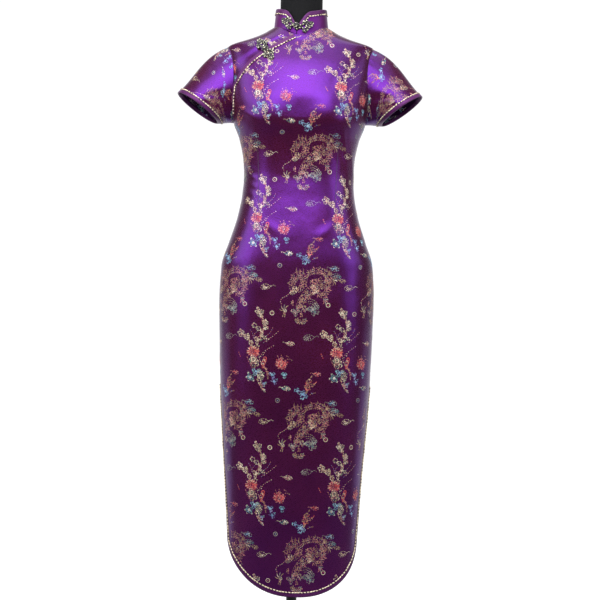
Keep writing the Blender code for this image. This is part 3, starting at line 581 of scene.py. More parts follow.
def satin(name, dark, mid, glow, roughness, level, tint, strength=1.0, sheen=0.0):
    """Silk satin: a dark ground that shines in another colour, with fine threads and soft unevenness."""
    made, shader = base_look(name, mid, roughness, level=level, tint=tint, sheen=sheen, sheen_tint=tint)
    shader.inputs["IOR"].default_value = 1.62
    tree = made.node_tree
    cloud = noise(tree, (7, 7, 5), 4)
    tree.links.new(
        ramp(tree, cloud, ((0.30, dark), (0.52, mid), (0.75, glow))), shader.inputs["Base Color"]
    )
    threads = noise(tree, (260, 260, 2400), 2)
    weave = noise(tree, (1500, 1500, 1500), 2)
    uneven = noise(tree, (34, 34, 22), 3)
    uneven_shine(tree, shader, roughness, threads, 0.07)
    bump(
        tree, shader, [(uneven, 0.35 * strength, 0.0022), (threads, 0.30, 0.0002), (weave, 0.20, 0.0001)]
    )
    return made


def thread(name, colour, shade, light, roughness=0.38, metallic=0.0):
    """Brocade thread: floats that lie side by side across each figure, a little uneven in colour."""
    made, shader = base_look(name, colour, roughness, metallic, level=0.6, sheen=0.15, sheen_tint=light)
    tree = made.node_tree
    patch = noise(tree, (90, 90, 90), 3)
    tone = ramp(tree, patch, ((0.32, shade), (0.5, colour), (0.68, light)))
    tree.links.new(tone, shader.inputs["Base Color"])
    floats = node(tree, "ShaderNodeTexWave", Scale=1.0, Distortion=0.6, Detail=1.0)
    floats.bands_direction = "X"
    tree.links.new(stretched(tree, (3.2, 0.15, 1), use_uv=True), floats.inputs["Vector"])
    bump(tree, shader, [(floats.outputs["Fac"], 0.6, 0.0003)])
    return made


def plain(name, dark, light, roughness, scale, depth, metallic=0.0, sheen=0.0, level=0.5):
    """Cord, jersey, cap or painted metal, by the size and depth of its grain."""
    middle = tuple((a + b) / 2 for a, b in zip(dark, light))
    made, shader = base_look(name, middle, roughness, metallic, level=level, sheen=sheen)
    tree = made.node_tree
    grain = noise(tree, (scale, scale, scale), 4)
    soft = noise(tree, (18, 18, 18), 3)
    tree.links.new(ramp(tree, grain, ((0.35, dark), (0.65, light))), shader.inputs["Base Color"])
    uneven_shine(tree, shader, roughness, soft, 0.06)
    bump(tree, shader, [(grain, 0.4, depth)])
    return made


VIOLET = (0.34, 0.075, 1.0)
SATIN = satin(
    "brocade_satin_ground", (0.022, 0.0022, 0.005), (0.032, 0.0034, 0.008), (0.045, 0.0050, 0.012), 0.27,
    0.80, VIOLET
)
REVERSE = satin(
    "brocade_satin_reverse", (0.012, 0.002, 0.009), (0.018, 0.003, 0.013), (0.026, 0.006, 0.019), 0.50,
    0.25, VIOLET
)
COLLAR_SATIN = satin(
    "collar_satin", (0.046, 0.004, 0.038), (0.064, 0.006, 0.055), (0.085, 0.010, 0.075), 0.38, 0.58,
    VIOLET
)
BIAS = satin(
    "bias_satin", (0.034, 0.006, 0.036), (0.050, 0.009, 0.052), (0.070, 0.014, 0.072), 0.38, 0.35,
    (0.62, 0.25, 0.80), 0.5
)
GOLD_CORD = plain("gold_cord", (0.56, 0.44, 0.27), (0.90, 0.80, 0.62), 0.36, 700, 0.0003, metallic=0.2)
DARK_CORD = plain("dark_cord", (0.012, 0.003, 0.008), (0.036, 0.010, 0.024), 0.6, 700, 0.0003, level=0.2)
BLACK_CORD = plain(
    "black_silk_cord", (0.008, 0.007, 0.008), (0.030, 0.026, 0.028), 0.42, 900, 0.0003, sheen=0.2
)
FLECK_CORD = plain("gilt_thread", (0.36, 0.34, 0.22), (0.88, 0.86, 0.66), 0.35, 900, 0.0003, metallic=0.3)
JERSEY = plain(
    "form_jersey_cloth", (0.003, 0.003, 0.0035), (0.007, 0.007, 0.008), 0.90, 1300, 0.0003, sheen=0.03,
    level=0.12
)
CAP = plain("form_cap_lacquer", (0.010, 0.010, 0.011), (0.018, 0.018, 0.020), 0.35, 240, 0.0001)
STEEL = plain(
    "stand_powder_coat", (0.018, 0.018, 0.020), (0.034, 0.034, 0.037), 0.42, 1600, 0.0002, metallic=0.3
)
# Name, colour, shade and light of each thread
THREAD_COLOURS = (
    ("copper", (0.19, 0.082, 0.062), (0.115, 0.045, 0.036), (0.29, 0.145, 0.105)),
    ("gold", (0.29, 0.185, 0.10), (0.17, 0.10, 0.055), (0.42, 0.31, 0.19)),
    ("cream", (0.50, 0.41, 0.30), (0.27, 0.20, 0.15), (0.72, 0.64, 0.52)),
    ("coral", (0.42, 0.028, 0.034), (0.24, 0.014, 0.020), (0.54, 0.07, 0.07)),
    ("rose", (0.40, 0.13, 0.13), (0.26, 0.07, 0.08), (0.52, 0.22, 0.21)),
    ("sky", (0.12, 0.28, 0.42), (0.05, 0.13, 0.25), (0.28, 0.46, 0.56)),
    ("violet", (0.13, 0.13, 0.36), (0.07, 0.065, 0.23), (0.24, 0.24, 0.46)),
    ("teal", (0.045, 0.18, 0.20), (0.02, 0.10, 0.12), (0.12, 0.30, 0.32)),
    ("grey", (0.19, 0.17, 0.16), (0.10, 0.09, 0.09), (0.32, 0.31, 0.30)),
    ("green", (0.13, 0.20, 0.13), (0.07, 0.12, 0.08), (0.25, 0.34, 0.23)),
    # painted shade: the darts' dark lines, whose colour stands in for the shade in their sunk stitching
    ("seam", (0.012, 0.002, 0.016), (0.008, 0.001, 0.010), (0.02, 0.004, 0.026)),
)
METAL_THREADS = ("copper", "gold")
THREADS = {
    name: thread(f"thread_{name}", colour, shade, light, metallic=0.2 if name in METAL_THREADS else 0.0)
    for name, colour, shade, light in THREAD_COLOURS
}
THREAD_NAMES = list(THREADS)


# Brocade figures, drawn in millimetres as ribbons of thread
def smooth(points, step):
    """Line through the points without corners, cut into equal steps."""
    p = np.asarray(points, float)
    if len(p) > 2:
        p = np.concatenate([[2 * p[0] - p[1]], p, [2 * p[-1] - p[-2]]])
        t = np.linspace(0, 1, 10, endpoint=False)[:, None]
        found = []
        for a, b, c, d in zip(p, p[1:], p[2:], p[3:]):
            pull = (c - a) * t + (2 * a - 5 * b + 4 * c - d) * t**2
            found.append(b + 0.5 * (pull + (3 * b - a - 3 * c + d) * t**3))
        p = np.concatenate(found + [p[-2:-1]])
    run = distances(p)
    count = max(3, int(round(run[-1] / step)) + 1)
    at = np.linspace(0, run[-1], count)
    return np.stack([np.interp(at, run, p[:, 0]), np.interp(at, run, p[:, 1])], axis=-1)


def ways(line):
    """Directions along and across each point of a flat line."""
    along = np.gradient(line, axis=0)
    along /= np.maximum(np.linalg.norm(along, axis=1, keepdims=True), 1e-9)
    return along, np.stack([-along[:, 1], along[:, 0]], axis=-1)


def breadths(line, width):
    """A line's breadth at each point, from one number or from several spread along it."""
    widths = np.atleast_1d(width).astype(float)
    return np.interp(np.linspace(0, 1, len(line)), np.linspace(0, 1, len(widths)), widths)


EDGE_LIFT, EDGE_LAYER = 0.00004, 0.00010
CROWN_LIFT, CROWN_LAYER = 0.00024, 0.00012


class Drawing:
    """Ribbons of thread: their points, heights, places along and across, faces and colours."""

    def __init__(self):
        self.points, self.lifts, self.uv, self.faces, self.tints = [], [], [], [], []
        self.count = 0
        self.chance = np.random.default_rng(11)

    def ribbon(self, points, width, colour, level=0, step=2.6):
        """width is one number, or several along the ribbon. level counts the layers under it."""
        line = smooth(points, step)
        across = ways(line)[1]
        half = breadths(line, width)[:, None] / 2
        run = distances(line)
        strip = np.stack([line - across * half, line, line + across * half], axis=1)
        self.points.append(strip.reshape(-1, 2))
        edge, crown = EDGE_LIFT + EDGE_LAYER * level, CROWN_LIFT + CROWN_LAYER * level
        self.lifts.append(np.tile([edge, crown, edge], len(line)))
        places = [np.stack([run, side * half[:, 0]], axis=-1) for side in (-1, 0, 1)]
        self.uv.append(np.stack(places, axis=1).reshape(-1, 2))
        faces = quads(len(line), 3) + self.count
        self.faces.append(faces)
        self.tints.append(np.full(len(faces), THREAD_NAMES.index(colour)))
        self.count += len(line) * 3

    def dashes(self, points, width, colours, dash, gap, level=0):
        """A line of thread that dips under the ground between its floats."""
        line = smooth(points, 0.8)
        run = np.arange(len(line)) * 0.8
        at, k = 0.0, 0
        while at < run[-1] - dash * 0.4:
            piece = line[(run >= at) & (run <= at + dash)]
            if len(piece) > 2:
                taper = (width * 0.35, width, width, width * 0.35)
                tint = colours[k % len(colours)]
                self.ribbon(piece[:: max(1, len(piece) // 4)], taper, tint, level, 2.0)
            at, k = at + dash + gap, k + 1

    def speckle(self, points, width, colours, pitch=3.7, long=4.0, thick=1.75, gap=0.16, level=0):
        """A shape filled with small commas of thread in all directions, with the ground between them."""
        line = smooth(points, pitch * 0.9)
        for spot, side, wide in zip(line, ways(line)[1], breadths(line, width)):
            count = max(1, int(round(wide / pitch)))
            for n in range(count):
                lean, dx, dy, skip = self.chance.random(4)
                tint = colours[self.chance.integers(len(colours))]
                if skip < gap:
                    continue
                middle = spot + side * wide * ((n + 0.5) / count - 0.5)
                middle = middle + (np.array([dx, dy]) - 0.5) * pitch * 0.7
                way = 0.5 * long * np.array([math.cos(math.pi * lean), math.sin(math.pi * lean)])
                comma = (thick * 0.45, thick, thick * 0.45)
                self.ribbon((middle - way, middle + way), comma, tint, level, 4.0)

    def lobe(self, start, end, width, rim, fill, level=0):
        """A leaf, petal or plume tip: a broken outline with speckles in it."""
        a, b = np.asarray(start, float), np.asarray(end, float)
        side = np.array([-(b - a)[1], (b - a)[0]]) / max(np.linalg.norm(b - a), 1e-9) * width / 2
        for sign in (-1, 1):
            outline = (a, a + (b - a) * 0.35 + side * sign, a + (b - a) * 0.75 + side * sign * 0.8, b)
            self.dashes(outline, 1.5, rim, 4.6, 1.0, level + 1)
        spine = (a + (b - a) * 0.15, b - (b - a) * 0.15)
        self.speckle(spine, (width * 0.45, width * 0.85, width * 0.6), fill, gap=0.25, level=level)

    def leaf(self, start, end, width, colour, bend=0.0, level=0):
        """A leaf, petal or feather from start to end."""
        a, b = np.asarray(start, float), np.asarray(end, float)
        side = np.array([-(b - a)[1], (b - a)[0]])
        middle = (a + b) / 2 + side * bend
        self.ribbon((a, middle, b), (0.3, width * 0.75, width, width * 0.8, 0.3), colour, level)

    def ring(self, centre, radius, width, colour, level=0):
        a = np.linspace(0, 2 * math.pi, 13)
        line = np.asarray(centre) + radius * np.stack([np.cos(a), np.sin(a)], axis=-1)
        self.ribbon(line, width, colour, level, step=max(1.2, radius * 0.5))

    def dot(self, centre, radius, colour, level=1):
        x, y = centre
        round_off = (0.3, radius * 1.8, radius * 2, radius * 1.8, 0.3)
        self.ribbon(((x - radius, y), (x, y), (x + radius, y)), round_off, colour, level, radius * 0.6)

    def curl(self, centre, radius, start, turns, width, colour, level=0, tail=None):
        """A spiral that ends in its centre, with a tail towards it."""
        a = np.linspace(0, 2 * math.pi * abs(turns), max(10, int(14 * abs(turns))))
        way = start + math.copysign(1, turns) * a
        reach = radius * (1 - 0.82 * a / a[-1])
        line = np.asarray(centre) + reach[:, None] * np.stack([np.cos(way), np.sin(way)], axis=-1)
        if tail is not None:
            line = np.concatenate([np.asarray(tail, float), line[1:]])
        self.ribbon(line, (width * 0.4, width, width, width * 0.8, width * 0.5), colour, level, 2.2)


def flower(d, x, y, size, petals, outer, inner, turn=0.3):
    """A round bloom of speckled petals with a scalloped rim."""
    for k in range(petals):
        a = turn + 2 * math.pi * k / petals
        way = np.array([math.cos(a), math.sin(a)])
        near, far = (x, y) + way * size * 0.45, (x, y) + way * size * 1.04
        d.lobe(near, far, size * 0.62, (outer, inner), (outer, outer, inner))
    half = size * 0.62
    across, widths = ((x - half, y), (x, y), (x + half, y)), (half * 1.1, half * 2, half * 1.1)
    fill = (outer, outer, outer, inner, outer, "cream")
    d.speckle(across, widths, fill, pitch=2.9, thick=1.5, long=3.4, gap=0.1, level=1)
    d.ring((x, y), size * 0.2, 1.1, inner, 2)


CLOUD_RIM = (
    (-1.0, 0.10), (-0.55, 0.42), (0.0, 0.55), (0.55, 0.40), (0.95, 0.0),
    (0.80, -0.34), (0.30, -0.50), (-0.30, -0.42), (-0.75, -0.16), (-1.0, 0.10),
)


def cloud(d, x, y, size, colour, light, flip=1, tail=0.9):
    """A pointed oval cloud: a broken outline, a curl and specks in it, and a short hooked tail."""
    def at(*places):
        return [(x + flip * size * a, y + size * b) for a, b in places]

    oval = at(*CLOUD_RIM)
    d.dashes(oval, 1.25, (light, light, colour), 4.6, 0.8, 1)
    d.dashes(at((-1.0, 0.10), (-1.0 - tail * 0.5, 0.36), (-1.0 - tail, 0.16)), 1.1, (light,), 4.0, 0.8, 1)
    d.curl(at((0.28, 0.0))[0], size * 0.34, 0.4, 1.3 * flip, 1.1, light, 1)
    inside, widths = at((-0.6, 0.04), (0.1, 0.02), (0.7, -0.04)), (size * 0.4, size * 0.72, size * 0.5)
    d.speckle(inside, widths, (colour, colour, light), gap=0.2)


def tuft(d, x, y, size, colours, light, tips):
    """A cluster of small leaves about one place."""
    for tx, ty, wide in tips:
        d.lobe((x, y), (x + size * tx, y + size * ty), size * wide, (light, colours[0]), colours)
    d.speckle(((x - size * 0.2, y), (x + size * 0.2, y)), size * 0.5, colours, gap=0.1, level=1)


def sprig(d, x, y, size):
    """A leaning branch with buds, and blue leaves at its foot."""
    for dx, dy, wide in ((0.30, 1.0, 11), (0.02, 0.72, 7), (0.58, 0.62, 7)):
        line = ((x, y), (x + size * dx * 0.3, y + size * dy * 0.45), (x + size * dx, y + size * dy))
        d.dashes(line, 1.4, ("copper", "rose"), 5, 1.0, 1)
        d.speckle(line, (2, wide, wide * 1.3, wide, 3), ("copper", "gold", "copper", "coral"), gap=0.22)
    tuft(
        d, x - 7, y - 3, 15, ("sky", "violet"), "sky",
        ((-0.9, 0.5, 0.5), (-0.2, -0.95, 0.6), (0.75, -0.5, 0.6), (0.2, 0.6, 0.4))
    )
    tuft(d, x - 20, y + 4, 8, ("sky", "violet"), "sky", ((-0.9, 0.4, 0.7), (0.2, 1.0, 0.6)))
    d.speckle(((x + 10, y - 2), (x + 20, y + 1)), 5, ("copper", "violet"), gap=0.3)


def claw(d, x, y, turn, size, colours):
    """A pad and four bent nails, opened towards turn."""
    d.speckle(
        ((x - size * 0.2, y), (x + size * 0.2, y)), size * 0.55, colours, pitch=3.2, gap=0.1, level=1
    )
    for k, spread in enumerate((-1.0, -0.35, 0.35, 1.0)):
        way = np.array([math.cos(turn + spread), math.sin(turn + spread)])
        tint = colours[k % len(colours)]
        d.leaf((x, y) + way * size * 0.2, (x, y) + way * size, 1.8, tint, bend=0.18, level=1)


def limb(d, points, widths, fill, rim):
    """A stretch of scaled body: specks across it and a broken line along each edge."""
    line = smooth(points, 1.0)
    along, across = ways(line)
    half = breadths(line, widths)[:, None] / 2
    d.speckle(points, [w * 0.86 for w in widths], fill, pitch=3.6, gap=0.22)
    for side in (-1, 1):
        d.dashes((line + side * across * half)[::5], 1.5, rim, 4.2, 1.2, 1)
    d.dashes(line[::6], 1.4, rim[::-1], 3.0, 2.2, 2)
    for k in range(8, len(line) - 8, 15):
        root = line[k] + across[k] * half[k]
        d.leaf(root, root + across[k] * 5.0 - along[k] * 4.0, 1.6, rim[(k // 8) % len(rim)], bend=0.12)


def dragon(d):
    """A scaled body in tight bends, with four clawed feet, mane and whiskers, over curled waves."""
    scales = ("copper", "copper", "gold", "rose", "copper", "grey")
    limb(
        d, ((-30, -6), (-36, 8), (-31, 24), (-17, 35), (-4, 26), (-8, 10), (-18, -2)),
        (8, 14, 17, 18, 17, 15, 10), scales, ("copper", "rose", "gold")
    )
    limb(
        d,
        (
            (4, 36), (24, 44), (46, 43), (60, 32), (56, 15), (38, 14), (22, 4), (4, -10), (-10, -26),
            (-20, -42)
        ),
        (8, 12, 14, 15, 16, 18, 20, 20, 17, 10), scales, ("gold", "copper", "rose")
    )
    limb(
        d, ((62, 24), (62, 6), (52, -10), (40, -10), (34, 0)), (10, 13, 13, 11, 8), scales,
        ("rose", "copper")
    )
    d.speckle(((14, 20), (30, 22), (42, 28)), (8, 12, 6), ("gold", "copper", "rose"), gap=0.2)
    d.speckle(
        ((18, 10), (26, 2), (22, -8)), (9, 13, 8), ("cream", "gold", "rose"), pitch=3.2, gap=0.08, level=1
    )
    d.speckle(
        ((-22, 4), (-32, -4), (-38, -10)), (13, 14, 9), ("gold", "grey", "gold", "cream"), pitch=3.3,
        gap=0.08, level=1
    )
    d.speckle(((-34, -24), (-34, -34)), 7, ("gold", "rose"), gap=0.1)
    d.dashes(
        ((-40, -6), (-50, -14), (-62, -20), (-66, -28), (-62, -34)), 1.5, ("cream", "rose"), 3.4, 2.2
    )
    for x, height in ((-22, 52), (-3, 50), (-12, 47)):
        d.leaf((x, 34), (x - 2, height), 1.8, "copper", bend=0.1)
    claw(d, -54, -48, math.pi * 0.6, 15, ("gold", "grey", "cream"))
    d.speckle(((-54, -54), (-56, -62)), 7, ("gold", "rose"), gap=0.2)
    claw(d, 74, 24, -0.6, 14, ("copper", "gold", "cream"))
    claw(d, 52, -22, -1.0, 11, ("rose", "grey"))
    claw(d, 64, 38, 0.9, 9, ("gold", "copper"))
    d.speckle(
        ((-18, -36), (-8, -46), (4, -40)), (14, 22, 14), ("rose", "copper", "gold", "grey"), gap=0.12
    )
    d.speckle(((-9, -54), (-9, -64)), 7, ("rose", "copper"), gap=0.2)
    for reach in (8, 13):
        fan = [
            (-10 + 1.15 * reach * math.cos(a), -66 + 0.8 * reach * math.sin(a))
            for a in np.linspace(-2.9, -0.25, 6)
        ]
        d.speckle(fan, 6.5, ("grey", "copper", "rose", "gold"), pitch=3.4, gap=0.15)
    tuft(
        d, 22, -44, 19, ("grey", "teal", "grey"), "grey",
        ((0.9, -0.5, 0.6), (-0.8, 0.1, 0.6), (0.3, 0.8, 0.6), (0.1, -0.8, 0.6), (0.9, 0.4, 0.5))
    )
    tuft(
        d, -25, -50, 14, ("grey", "grey", "rose"), "grey",
        ((-0.9, 0.2, 0.6), (0.6, 0.3, 0.6), (0.0, -0.8, 0.6))
    )
    for n in range(3):
        reach = 13 + 5 * n
        arc = [(14 + reach * math.cos(a), -44 + reach * math.sin(a)) for a in np.linspace(0.5, 1.9, 6)]
        d.dashes(arc, 1.5, ("grey", "gold"), 4.0, 1.3, 1)


def phoenix(d):
    """A bird that dives, with leafy plumes streaming up from it, and a peony and leaves under it."""
    pale = ("cream", "gold", "cream", "rose", "cream", "green", "copper")
    plume = (
        (4, 6), (10, 16), (14, 27), (21, 38), (18, 48), (27, 56), (28, 66), (22, 78), (15, 90), (9, 102)
    )
    d.speckle(plume, (10, 15, 12, 11, 12, 11, 14, 6, 15, 2), pale, pitch=4.0, gap=0.22, level=1)
    d.dashes(plume, 1.6, ("cream", "gold"), 4.4, 1.2, 2)
    for ax, ay, bx, by, wide in (
        (18, 50, 6, 57, 9), (7, 56, -3, 65, 10), (12, 24, 4, 34, 8), (22, 36, 32, 30, 6),
        (27, 52, 36, 58, 5), (28, 60, 29, 74, 12), (18, 80, 8, 92, 7), (17, 84, 22, 100, 7),
        (14, 90, 8, 104, 6), (16, 88, 3, 94, 5)
    ):
        d.lobe((ax, ay), (bx, by), wide, ("cream",), ("green", "copper", "cream", "grey", "rose"))
    side = ((0, 8), (-5, 20), (-12, 30), (-22, 36), (-30, 42))
    d.speckle(
        side, (10, 11, 12, 11, 6), ("cream", "rose", "gold", "cream", "copper"), pitch=3.6, gap=0.14,
        level=1
    )
    d.dashes(side, 1.6, ("gold", "cream"), 4.4, 1.2, 2)
    for bx, by, wide in ((-34, 52, 7), (-40, 44, 7), (-36, 34, 7), (-24, 48, 6)):
        d.lobe((-29, 41), (bx, by), wide, ("cream",), ("coral", "gold", "cream"))
    d.lobe((-12, 30), (-13, 42), 5, ("cream",), ("cream", "gold"))
    for line in (
        ((-8, 51), (-2, 42), (1, 28)), ((8, 46), (3, 40), (1, 30)), ((30, 36), (40, 45), (46, 57)),
        ((24, 20), (30, 26), (34, 32))
    ):
        d.dashes(line, 1.1, ("violet", "rose"), 3.4, 1.4)
    for line in (
        ((36, 29), (48, 38), (59, 48)), ((24, -8), (30, 3), (39, 9), (49, 15)), ((31, 24), (38, 30)),
        ((18, -12), (22, -4), (28, 2))
    ):
        d.dashes(line, 1.7, ("cream", "rose"), 2.8, 2.6)
    d.speckle(
        ((-12, 4), (0, 0), (12, -2)), (17, 23, 17), ("coral", "coral", "rose", "coral"), pitch=3.0,
        gap=0.05, level=1
    )
    for turn in np.linspace(0.1, 2 * math.pi, 13, endpoint=False):
        way = np.array([math.cos(turn), 0.8 * math.sin(turn)])
        d.leaf(way * 9, way * 16.5, 2.4, ("coral", "cream", "rose")[int(turn * 3) % 3], level=1)
    d.speckle(
        ((-4, -14), (3, -22), (8, -34)), (17, 20, 14), ("rose", "gold", "cream", "copper", "green"),
        pitch=3.3, gap=0.12, level=1
    )
    d.ring((1, -18), 5.0, 1.6, "cream", 2)
    d.dashes(((-15, -12), (-9, -26), (0, -39)), 1.7, ("rose", "copper"), 4.2, 1.0, 1)
    d.dashes(((14, -6), (17, -20), (22, -30)), 1.5, ("rose", "cream"), 3.6, 1.4, 1)
    d.ring((29, -15), 3.4, 1.8, "coral", 1)
    d.speckle(
        ((29, -18), (25, -28), (26, -36)), (7, 11, 8), ("coral", "rose", "cream", "coral"), pitch=3.1,
        gap=0.06, level=1
    )
    d.speckle(((28, -36), (35, -46), (37, -60)), (6, 8, 5), ("gold", "rose", "copper"), gap=0.08, level=1)
    tuft(
        d, 8, -46, 11, ("sky", "sky", "teal"), "sky",
        ((-0.9, 0.4, 0.7), (0.9, 0.2, 0.7), (-0.2, -0.9, 0.7))
    )
    tuft(
        d, -5, -59, 12, ("teal", "sky"), "cream",
        ((-0.6, 0.9, 0.5), (0.8, 0.4, 0.5), (0.7, -0.8, 0.5), (-0.5, -0.8, 0.5), (-1.0, -0.1, 0.5))
    )
    d.speckle(
        ((14, -42), (20, -54), (16, -66)), (9, 17, 13), ("cream", "green", "gold", "grey"), pitch=3.3,
        gap=0.1, level=1
    )
    tuft(d, 26, -74, 8, ("grey", "sky"), "violet", ((-0.9, 0.3, 0.7), (0.9, 0.3, 0.7), (0.1, -0.9, 0.7)))
    d.dashes(((12, -66), (17, -78), (27, -88), (32, -92)), 1.8, ("rose", "cream"), 4.0, 1.2, 1)
    d.speckle(((18, -72), (24, -84), (32, -95)), (7, 8, 4), ("rose", "gold", "grey"), gap=0.15)
    for x, y in ((46, -53), (51, -68)):
        tuft(d, x, y, 9, ("violet", "sky"), "sky", ((-0.9, 0.5, 0.7), (0.8, 0.5, 0.7), (0.5, -1.0, 0.6)))
    flower(d, 67, -27, 14.0, 9, "coral", "rose")
    for line in (
        ((58, -8), (60, -14)), ((66, -6), (69, -12), (72, -16)), ((78, -8), (84, -11)),
        ((80, -16), (88, -16), (92, -20))
    ):
        d.dashes(line, 1.6, ("rose", "copper", "gold"), 3.6, 1.2)
    tuft(d, 74, -53, 9, ("sky", "teal"), "sky", ((-0.6, 0.6, 0.7), (0.6, 0.5, 0.7), (0.1, -1.0, 0.7)))
    d.dashes(((-37, -2), (-34, -9), (-31, -15)), 2.2, ("coral", "rose"), 3.4, 1.4)


REPEAT_U, REPEAT_V = 195.0, 312.0
HALF_U, HALF_V = REPEAT_U / 2, REPEAT_V / 2


def shifted(d, draw, x, y, wide=1.0):
    """Draws a figure about another place, at another breadth."""
    first = len(d.points)
    draw(d)
    for k in range(first, len(d.points)):
        d.points[k] = d.points[k] * (wide, 1.0) + (x, y)


# Place, size, colour, light colour, side that it faces and length of tail of each cloud
CLOUDS = (
    (10, -110, 13, "grey", "grey", -1, 0.8),
    (-32, -124, 10, "rose", "cream", 1, 1.0),
    (-40, 84, 10, "teal", "cream", 1, 0.8),
    (HALF_U - 26, HALF_V - 124, 13, "teal", "grey", 1, 0.7),
    (HALF_U + 6, 6, 12, "gold", "cream", -1, 0.9),
    (HALF_U - 10, 22, 8, "gold", "gold", 1, 0.7),
    (68, 50, 11, "sky", "grey", 1, 0.9),
    (31, 118, 9, "coral", "rose", 1, 0.9),
)
COINS = (
    (HALF_U + 38, 56, "grey", "sky"), (HALF_U - 44, -34, "cream", "coral"),
    (HALF_U + 22, -54, "cream", "rose"),
)


def brocade():
    """One repeat of the cloth, from a dragon's centre."""
    d = Drawing()
    shifted(d, dragon, 0, 0, 0.86)
    shifted(d, phoenix, 76, 168)
    sprig(d, 6, 74, 40)
    for place in CLOUDS:
        cloud(d, *place)
    for x, y, tint, heart in COINS:
        d.ring((x, y), 4.6, 1.3, tint)
        d.dot((x, y), 1.2, heart)
    return d


# Cloth charts: places on a cloth by metres across and up
STEP = 0.004
MILLIMETRE = 0.001


ROUND_STEPS = 361
PROFILE_TURN = 0.35  # of the line up the body along which heights are measured
CHART_HALF_WIDTH = 0.30
SLEEVE_CHART_HALF_WIDTH = 0.26
DRAGON_Z = 0.814  # height of the dragon's centre, where the figures' repeat starts


def chart(points, lift, normals, low_u, low_v, keep):
    """points and normals on an even net of u and v, and which places the figures may cover."""
    points = points + normals * lift
    return {"points": points, "normals": normals, "u": low_u, "v": low_v, "keep": keep.astype(float)}


def on_chart(found, u, v):
    """Place, normal and whether it may be covered, between the four nearest net points."""
    grid = np.concatenate([found["points"], found["normals"], found["keep"][..., None]], axis=-1)
    rows, columns = grid.shape[:2]
    a, b = (v - found["v"]) / STEP, (u - found["u"]) / STEP
    inside = (a >= 0) & (b >= 0) & (a < rows - 1) & (b < columns - 1)
    a, b = np.where(inside, a, 0), np.where(inside, b, 0)
    r, c = a.astype(int), b.astype(int)
    a, b = (a - r)[:, None], (b - c)[:, None]
    low = (1 - b) * grid[r, c] + b * grid[r, c + 1]
    high = (1 - b) * grid[r + 1, c] + b * grid[r + 1, c + 1]
    value = (1 - a) * low + a * high
    good = inside & ~np.isnan(value).any(axis=-1) & (value[:, 6] > 0.5)
    return value[:, :3], value[:, 3:6], good


def body_chart(side):
    z = np.linspace(HEM_Z, NECK_TOP_Z, 900)
    run = distances(skin(PROFILE_TURN * side, z, side))
    run -= np.interp(DRAGON_Z, z, run)
    v = np.arange(run[0], run[-1], STEP)
    rows = np.interp(v, run, z)
    u = np.arange(-CHART_HALF_WIDTH, CHART_HALF_WIDTH, STEP)
    points = np.full((len(v), len(u), 3), np.nan)
    turns = np.full((len(v), len(u)), np.nan)
    fine = np.linspace(-math.pi / 2, math.pi / 2, ROUND_STEPS)
    for k, height in enumerate(rows):
        line = skin(fine, height, side)
        length = distances(line)
        length -= length[ROUND_STEPS // 2]
        ok = (u > length[0]) & (u < length[-1])
        turns[k, ok] = np.interp(u[ok], length, fine)
        points[k, ok] = skin(turns[k, ok], height, side)
    clean = np.where(np.isnan(points), 1.0, points)
    normals = outward(clean)
    lifted = points + normals * relief(clean, side)[..., None]
    return lifted, normals, turns, rows, u[0], v[0]


def body_keep(turns, rows, which):
    """Where a panel's cloth shows between its bindings, seams and openings."""
    side = BACK if which == "back" else FRONT
    right, left = panel_edges(rows, which)
    flap = rows < SLIT_TOP_Z
    right = np.where(flap, -hem_turn(rows, HEM_SQUARE_RIGHT_SIDE, BINDING), right)
    left = np.where(flap, hem_turn(rows, HEM_SQUARE_LEFT_SIDE, BINDING), left)
    if which == "front":
        lean = (bound_x(rows + 0.002) - bound_x(rows - 0.002)) / 0.004
        edge = turn_of(bound_x(rows) + BINDING * np.sqrt(1 + lean**2), rows)
        right = np.where((rows > OVERLAP_BOUND_Z) & (rows < NECK_FRONT_Z), np.maximum(right, edge), right)
    if which == "underlap":
        left = np.minimum(left, turn_of(overlap_x(rows) - 0.0005, rows))
        left = np.where(rows < UNDERARM_Z + 0.05, right, left)
    ok = (turns > right[:, None]) & (turns < left[:, None]) & (rows[:, None] > HEM_Z + BINDING)
    x = section("half_width", rows)[:, None] * np.sin(turns)
    y = skin(np.nan_to_num(turns), rows[:, None], side)[..., 1]
    front = NECK_FRONT if side == FRONT else NECK_BACK
    return ok & ((x / (NECK_HALF_WIDTH + 0.001)) ** 2 + (y / (front + 0.001)) ** 2 > 1)


def embroider(name, drawing, found, shifts, lift_sign=1, swap=None):
    """The cloth's figures at each place of the repeat, cut where the cloth ends."""
    flat = np.concatenate(drawing.points) * MILLIMETRE
    lifts, uv = np.concatenate(drawing.lifts), np.concatenate(drawing.uv)
    faces, tints = np.concatenate(drawing.faces), np.concatenate(drawing.tints)
    if swap is not None:
        tints = swap[tints]
    points, all_uv, all_faces, all_tints, count = [], [], [], [], 0
    for u, v in shifts:
        place, normal, good = on_chart(found, flat[:, 0] + u, flat[:, 1] + v)
        shown = good[faces].all(axis=1)
        if not shown.any():
            continue
        used = np.unique(faces[shown])
        number = np.full(len(flat), -1)
        number[used] = np.arange(len(used)) + count
        points.append(place[used] + normal[used] * (lift_sign * lifts[used])[:, None])
        all_uv.append(uv[used])
        kept = number[faces[shown]]
        all_faces.append(kept if lift_sign > 0 else kept[:, ::-1])
        all_tints.append(tints[shown])
        count += len(used)
    points, kept = np.concatenate(points), np.concatenate(all_faces)
    tints, uv = np.concatenate(all_tints), np.concatenate(all_uv)
    return make(name, points, kept, list(THREADS.values()), tints, uv, sharp=180)


# Sleeves
CUFF_TOP = np.array([0.293, 0.0, 1.282])
CUFF_BOTTOM = np.array([0.196, 0.0, 1.213])
CUFF_HALF_DEPTH = 0.053
CUFF_SLANT = 0.006
SLEEVE_PUFF = 0.011


